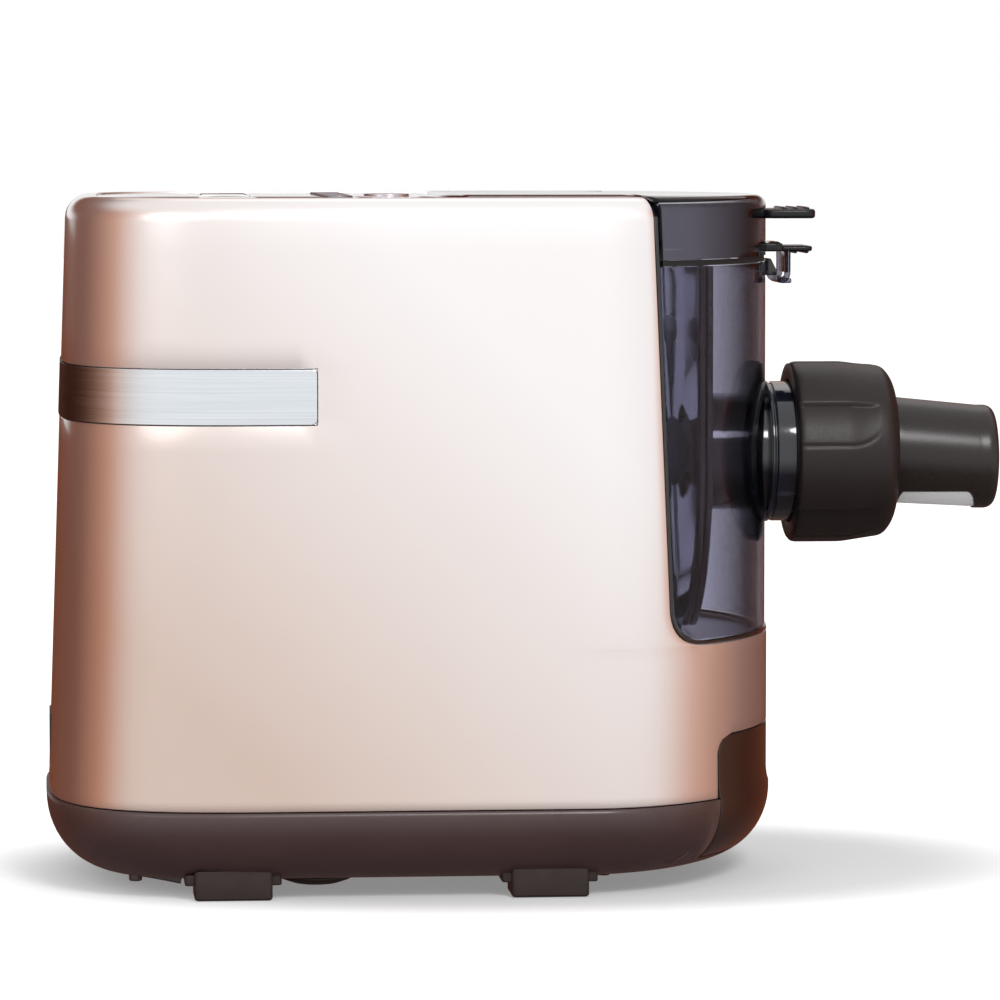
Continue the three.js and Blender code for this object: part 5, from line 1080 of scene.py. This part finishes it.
rim_x = np.linspace(tub_rear, tub_front - 0.0002, 26)
rim_out = skin(turn_at_x(rim_x), tub_top, tail_inset)
rim_out[:, 0] = rim_x
rim_in = np.column_stack([rim_x, np.full(len(rim_x), -tub_radius - 0.0001), np.full(len(rim_x), tub_top)])
top_rim = np.stack([rim_in, rim_out])
ledge = np.stack([np.stack([np.full(9, x), np.linspace(-tub_radius, 0, 9), np.full(9, tub_top)], -1)
                  for x in (tub_rear + 0.0026, ledge_x)])
piece("tub_rim", [top_rim, ledge], tub_smoke, "body", "smoky_clear", mirror=True, wall=-tub_wall, edge=0.0005)

lip_low, lip_half, lip_rear = 0.0981, 0.0712, 0.062

def trough_outline(radius, top, low, half, steps=61):
    """Points in Y and Z down one side, round a half circle about the axis and up the other side,
    held within a lowest level and a half width."""
    turn = np.linspace(0, np.pi, steps)
    y = np.concatenate([[-radius, -radius], -radius * np.cos(turn), [radius, radius]])
    z = np.concatenate([[top, (top + axis) / 2], axis - radius * np.sin(turn), [(top + axis) / 2, top]])
    return np.column_stack([np.clip(y, -half, half), np.maximum(z, low)])


def ring_plate(outer, inner, low, high):
    """A closed grid of the strip between two outlines of as many points, from one X to another."""
    loops = [np.column_stack([np.full(len(line), x), line]) for x, line in
             ((low, inner), (low, outer), (high, outer), (high, inner), (low, inner))]
    return np.stack(loops)


lip_outside = trough_outline(flange_radius, tub_top, lip_low, lip_half)
lip_inside = trough_outline(tub_radius, tub_top, lip_low - 0.01, lip_half)
piece("tub_front_lip", [ring_plate(lip_outside, lip_inside, lip_rear, tub_front)], rim_black, "body",
      "smoky_clear", edge=0.0004)


# Extrusion barrel: a gloss black moulding, a plate that closes the tub's front and a tube that
# runs out through the cover to the die
plate_x, plate_front, barrel_end, barrel_radius, bore, root = 0.0648, 0.0673, 0.1345, 0.0234, 0.019, 0.003
barrel_black = finish("barrel_gloss_black", (18, 18, 24), (24, 24, 31), 0.12, scale=1100.0, relief=0.000003,
                      edge=(70, 70, 84), Coat_Weight=0.6, Coat_Roughness=0.03)
barrel_bore = turned(rod(plate_x - 0.001, plate_front + 0.001, bore), (0, 0, axis), "X", 72)
piece("barrel_plate", [prism(lip_outside, plate_x, plate_front, 0.0006, "X")], barrel_black, "body",
      "barrel_plastic", "extrusion_barrel", cutters=[barrel_bore])

bore_start = plate_x + 0.0002
tube_profile = eased([(plate_front - 0.0005, barrel_radius + root), (plate_front + root, barrel_radius),
                      (barrel_end, barrel_radius), (barrel_end, bore)], 0.0008)
tube_profile += eased([(barrel_end, bore), (bore_start, bore)], 0.0004)
tube_profile += [(bore_start, bore), (bore_start, barrel_radius + root), tube_profile[0]]
piece("barrel_tube", [turned(tube_profile, (0, 0, axis), "X", 96)], barrel_black, "body", "barrel_plastic")


# Mixing paddle: pale grey moulding on the drive's shaft. Four flat arms stand out from its hub to
# two round bars that sweep the tub, and its dome pushes the dough into the barrel.
hub_x, hub_end, hub_radius, shaft_radius = -0.0327, 0.0651, 0.013, 0.0053
dome_radius, dome_length, dome_flat = 0.017, 0.015, 0.008
bar_start, bar_end, bar_radius, bar_out = -0.027, 0.062, 0.006, 0.049
arm_start, arm_half, arm_long, waist = 0.010, 0.0075, 0.009, 0.22
dome = [(hub_end - dome_length * (1 - np.sin(t)), dome_flat + (dome_radius - dome_flat) * np.cos(t))
        for t in np.linspace(0, np.pi / 2, 10)]
hub_profile = eased([(hub_x, shaft_radius), (hub_x, hub_radius), (hub_end - dome_length, hub_radius + 0.0006),
                     (hub_end - dome_length, dome_radius)], 0.002, 6) + dome[1:] + [(hub_end, shaft_radius)]
parts = [turned(hub_profile, (0, 0, axis), "X", 72)]
for side in (-1, 1):
    bar = rod(bar_start, bar_end, bar_radius, 0.0045, 8)
    parts.append(turned(bar, (0, 0, axis + side * bar_out), "X", 40))
    near, away = sorted((side * arm_start, side * bar_out))
    for x in (-0.024, 0.051):
        arm = slab((x, -arm_half, axis + near), (x + arm_long, arm_half, axis + away), 0.003, 0.001)
        share = (np.abs(arm[..., 2] - axis) - arm_start) / (bar_out - arm_start)
        arm[..., 1] *= 1 - waist * np.sin(np.pi * np.clip(share, 0, 1))
        parts.append(arm)
paddle_grey = finish("paddle_pale_grey", (196, 192, 200), (184, 180, 190), 0.36, scale=1500.0, relief=0.00001,
                     edge=(220, 218, 224))
piece("paddle", parts, paddle_grey, "drive_body", "paddle_grey", "mixing_paddle")


# Shaping die: a white moulded disc that the nut clamps in front of the barrel, with a ring of six
# holes that form the strands
die_rear, die_front, die_radius, strand_radius, strand_out = 0.1348, 0.1398, 0.027, 0.0022, 0.010
die = turned(rod(die_rear, die_front, die_radius, 0.0006), (0, 0, axis), "X", 72)
strands = [turned(rod(0.13, 0.145, strand_radius), (0, y, axis + z), "X", 24)
           for y, z in ((strand_out * np.sin(a), strand_out * np.cos(a)) for a in np.arange(6) * np.pi / 3)]
piece("die_disc", [die], sleeve_white, "spout_body", "white_plastic", "shaping_die", edge=0.0003,
      cutters=strands)


# Power inlet: a black moulded socket pressed into the rear wall from outside, with a thin flange
# round it and three flat steel pins inside
inlet_x, inlet_depth, inlet_wall, inlet_rim = -0.1886, 0.0157, 0.0025, 0.0009
socket = slab((inlet_x + 0.0003, -inlet_half, inlet_low), (inlet_x + inlet_depth, inlet_half, inlet_high),
              0.0018, 0.0008)
rim_grid = slab((inlet_x, -inlet_half - inlet_wall, inlet_low - inlet_wall),
                (inlet_x + inlet_rim, inlet_half + inlet_wall, inlet_high + inlet_wall), 0.0004, 0.0004)
hollow = slab((inlet_x - 0.01, -inlet_half + inlet_wall, inlet_low + inlet_wall),
              (inlet_x + inlet_depth - inlet_wall, inlet_half - inlet_wall, inlet_high - inlet_wall),
              0.0016, 0.002)
inlet_black = finish("inlet_black", (26, 25, 27), (32, 31, 33), 0.42, scale=2400.0, edge=(72, 70, 72))
piece("inlet_socket", [socket], inlet_black, "body", "black_trim", "power_inlet", edge=0.0003,
      cutters=[hollow])
piece("inlet_flange", [rim_grid], inlet_black, "body", "black_trim", edge=0.0002, cutters=[hollow])
bright_steel = finish("bright_steel", (190, 192, 194), (176, 178, 181), 0.26, scale=1900.0, relief=0.000006,
                      edge=(224, 225, 226), Metallic=1.0)
pins = [slab((inlet_x + 0.005, y - 0.001, 0.046), (inlet_x + 0.0155, y + 0.001, 0.051), 0.0006, 0.0005)
        for y in (-0.007, 0, 0.007)]
piece("inlet_pins", pins, bright_steel, "body", "plain_steel")


# Parts carried over from the frame: the drive, the boards, the drawer's tray and runners, the seal
# and the pins, of moulded plastic, rubber and turned steel. They keep their shapes and take finishes
# by what they are made of.
inner_grey = finish("inner_pale_plastic", (176, 172, 184), (164, 160, 173), 0.42, scale=1800.0,
                    edge=(206, 203, 212))
inner_dark = finish("inner_dark_plastic", (38, 36, 40), (46, 44, 48), 0.5, scale=2000.0,
                    edge=(78, 75, 80))
seal_black = finish("seal_rubber", (20, 19, 21), (27, 25, 28), 0.7, scale=2600.0, edge=(50, 48, 52))
board_green = finish("board_green", (28, 88, 58), (22, 74, 50), 0.4, scale=3200.0, relief=0.00001,
                     edge=(120, 150, 120), speck=0.5)
gear_white = finish("gear_white", (222, 219, 210), (212, 208, 198), 0.34, scale=1700.0, relief=0.00001,
                    edge=(236, 234, 228))
for look, names in [
    (inner_grey, ["deck_plate", "drawer_tray"]),
    (inner_dark, ["bulkhead", "gearbox_housing", "gearbox_cover", "motor_end_cap", "motor_cradle",
                  "cooling_fan", "drawer_runner_left", "drawer_runner_right"]),
    (seal_black, ["lid_seal"]),
    (board_green, ["control_board", "power_board"]),
    (gear_white, ["output_gear", "idler_gear"]),
    (paddle_grey, ["screw_auger"]),
    (bright_steel, ["output_shaft", "drive_coupling", "output_bearing", "motor_can", "motor_rotor",
                    "motor_pinion", "idler_pin", "idler_pinion", "hinge_pin_left", "hinge_pin_right"]),
    (tab_black, ["latch_pin"]),
]:
    for name in names:
        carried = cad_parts[name]
        carried.data.materials.clear()
        carried.data.materials.append(look)
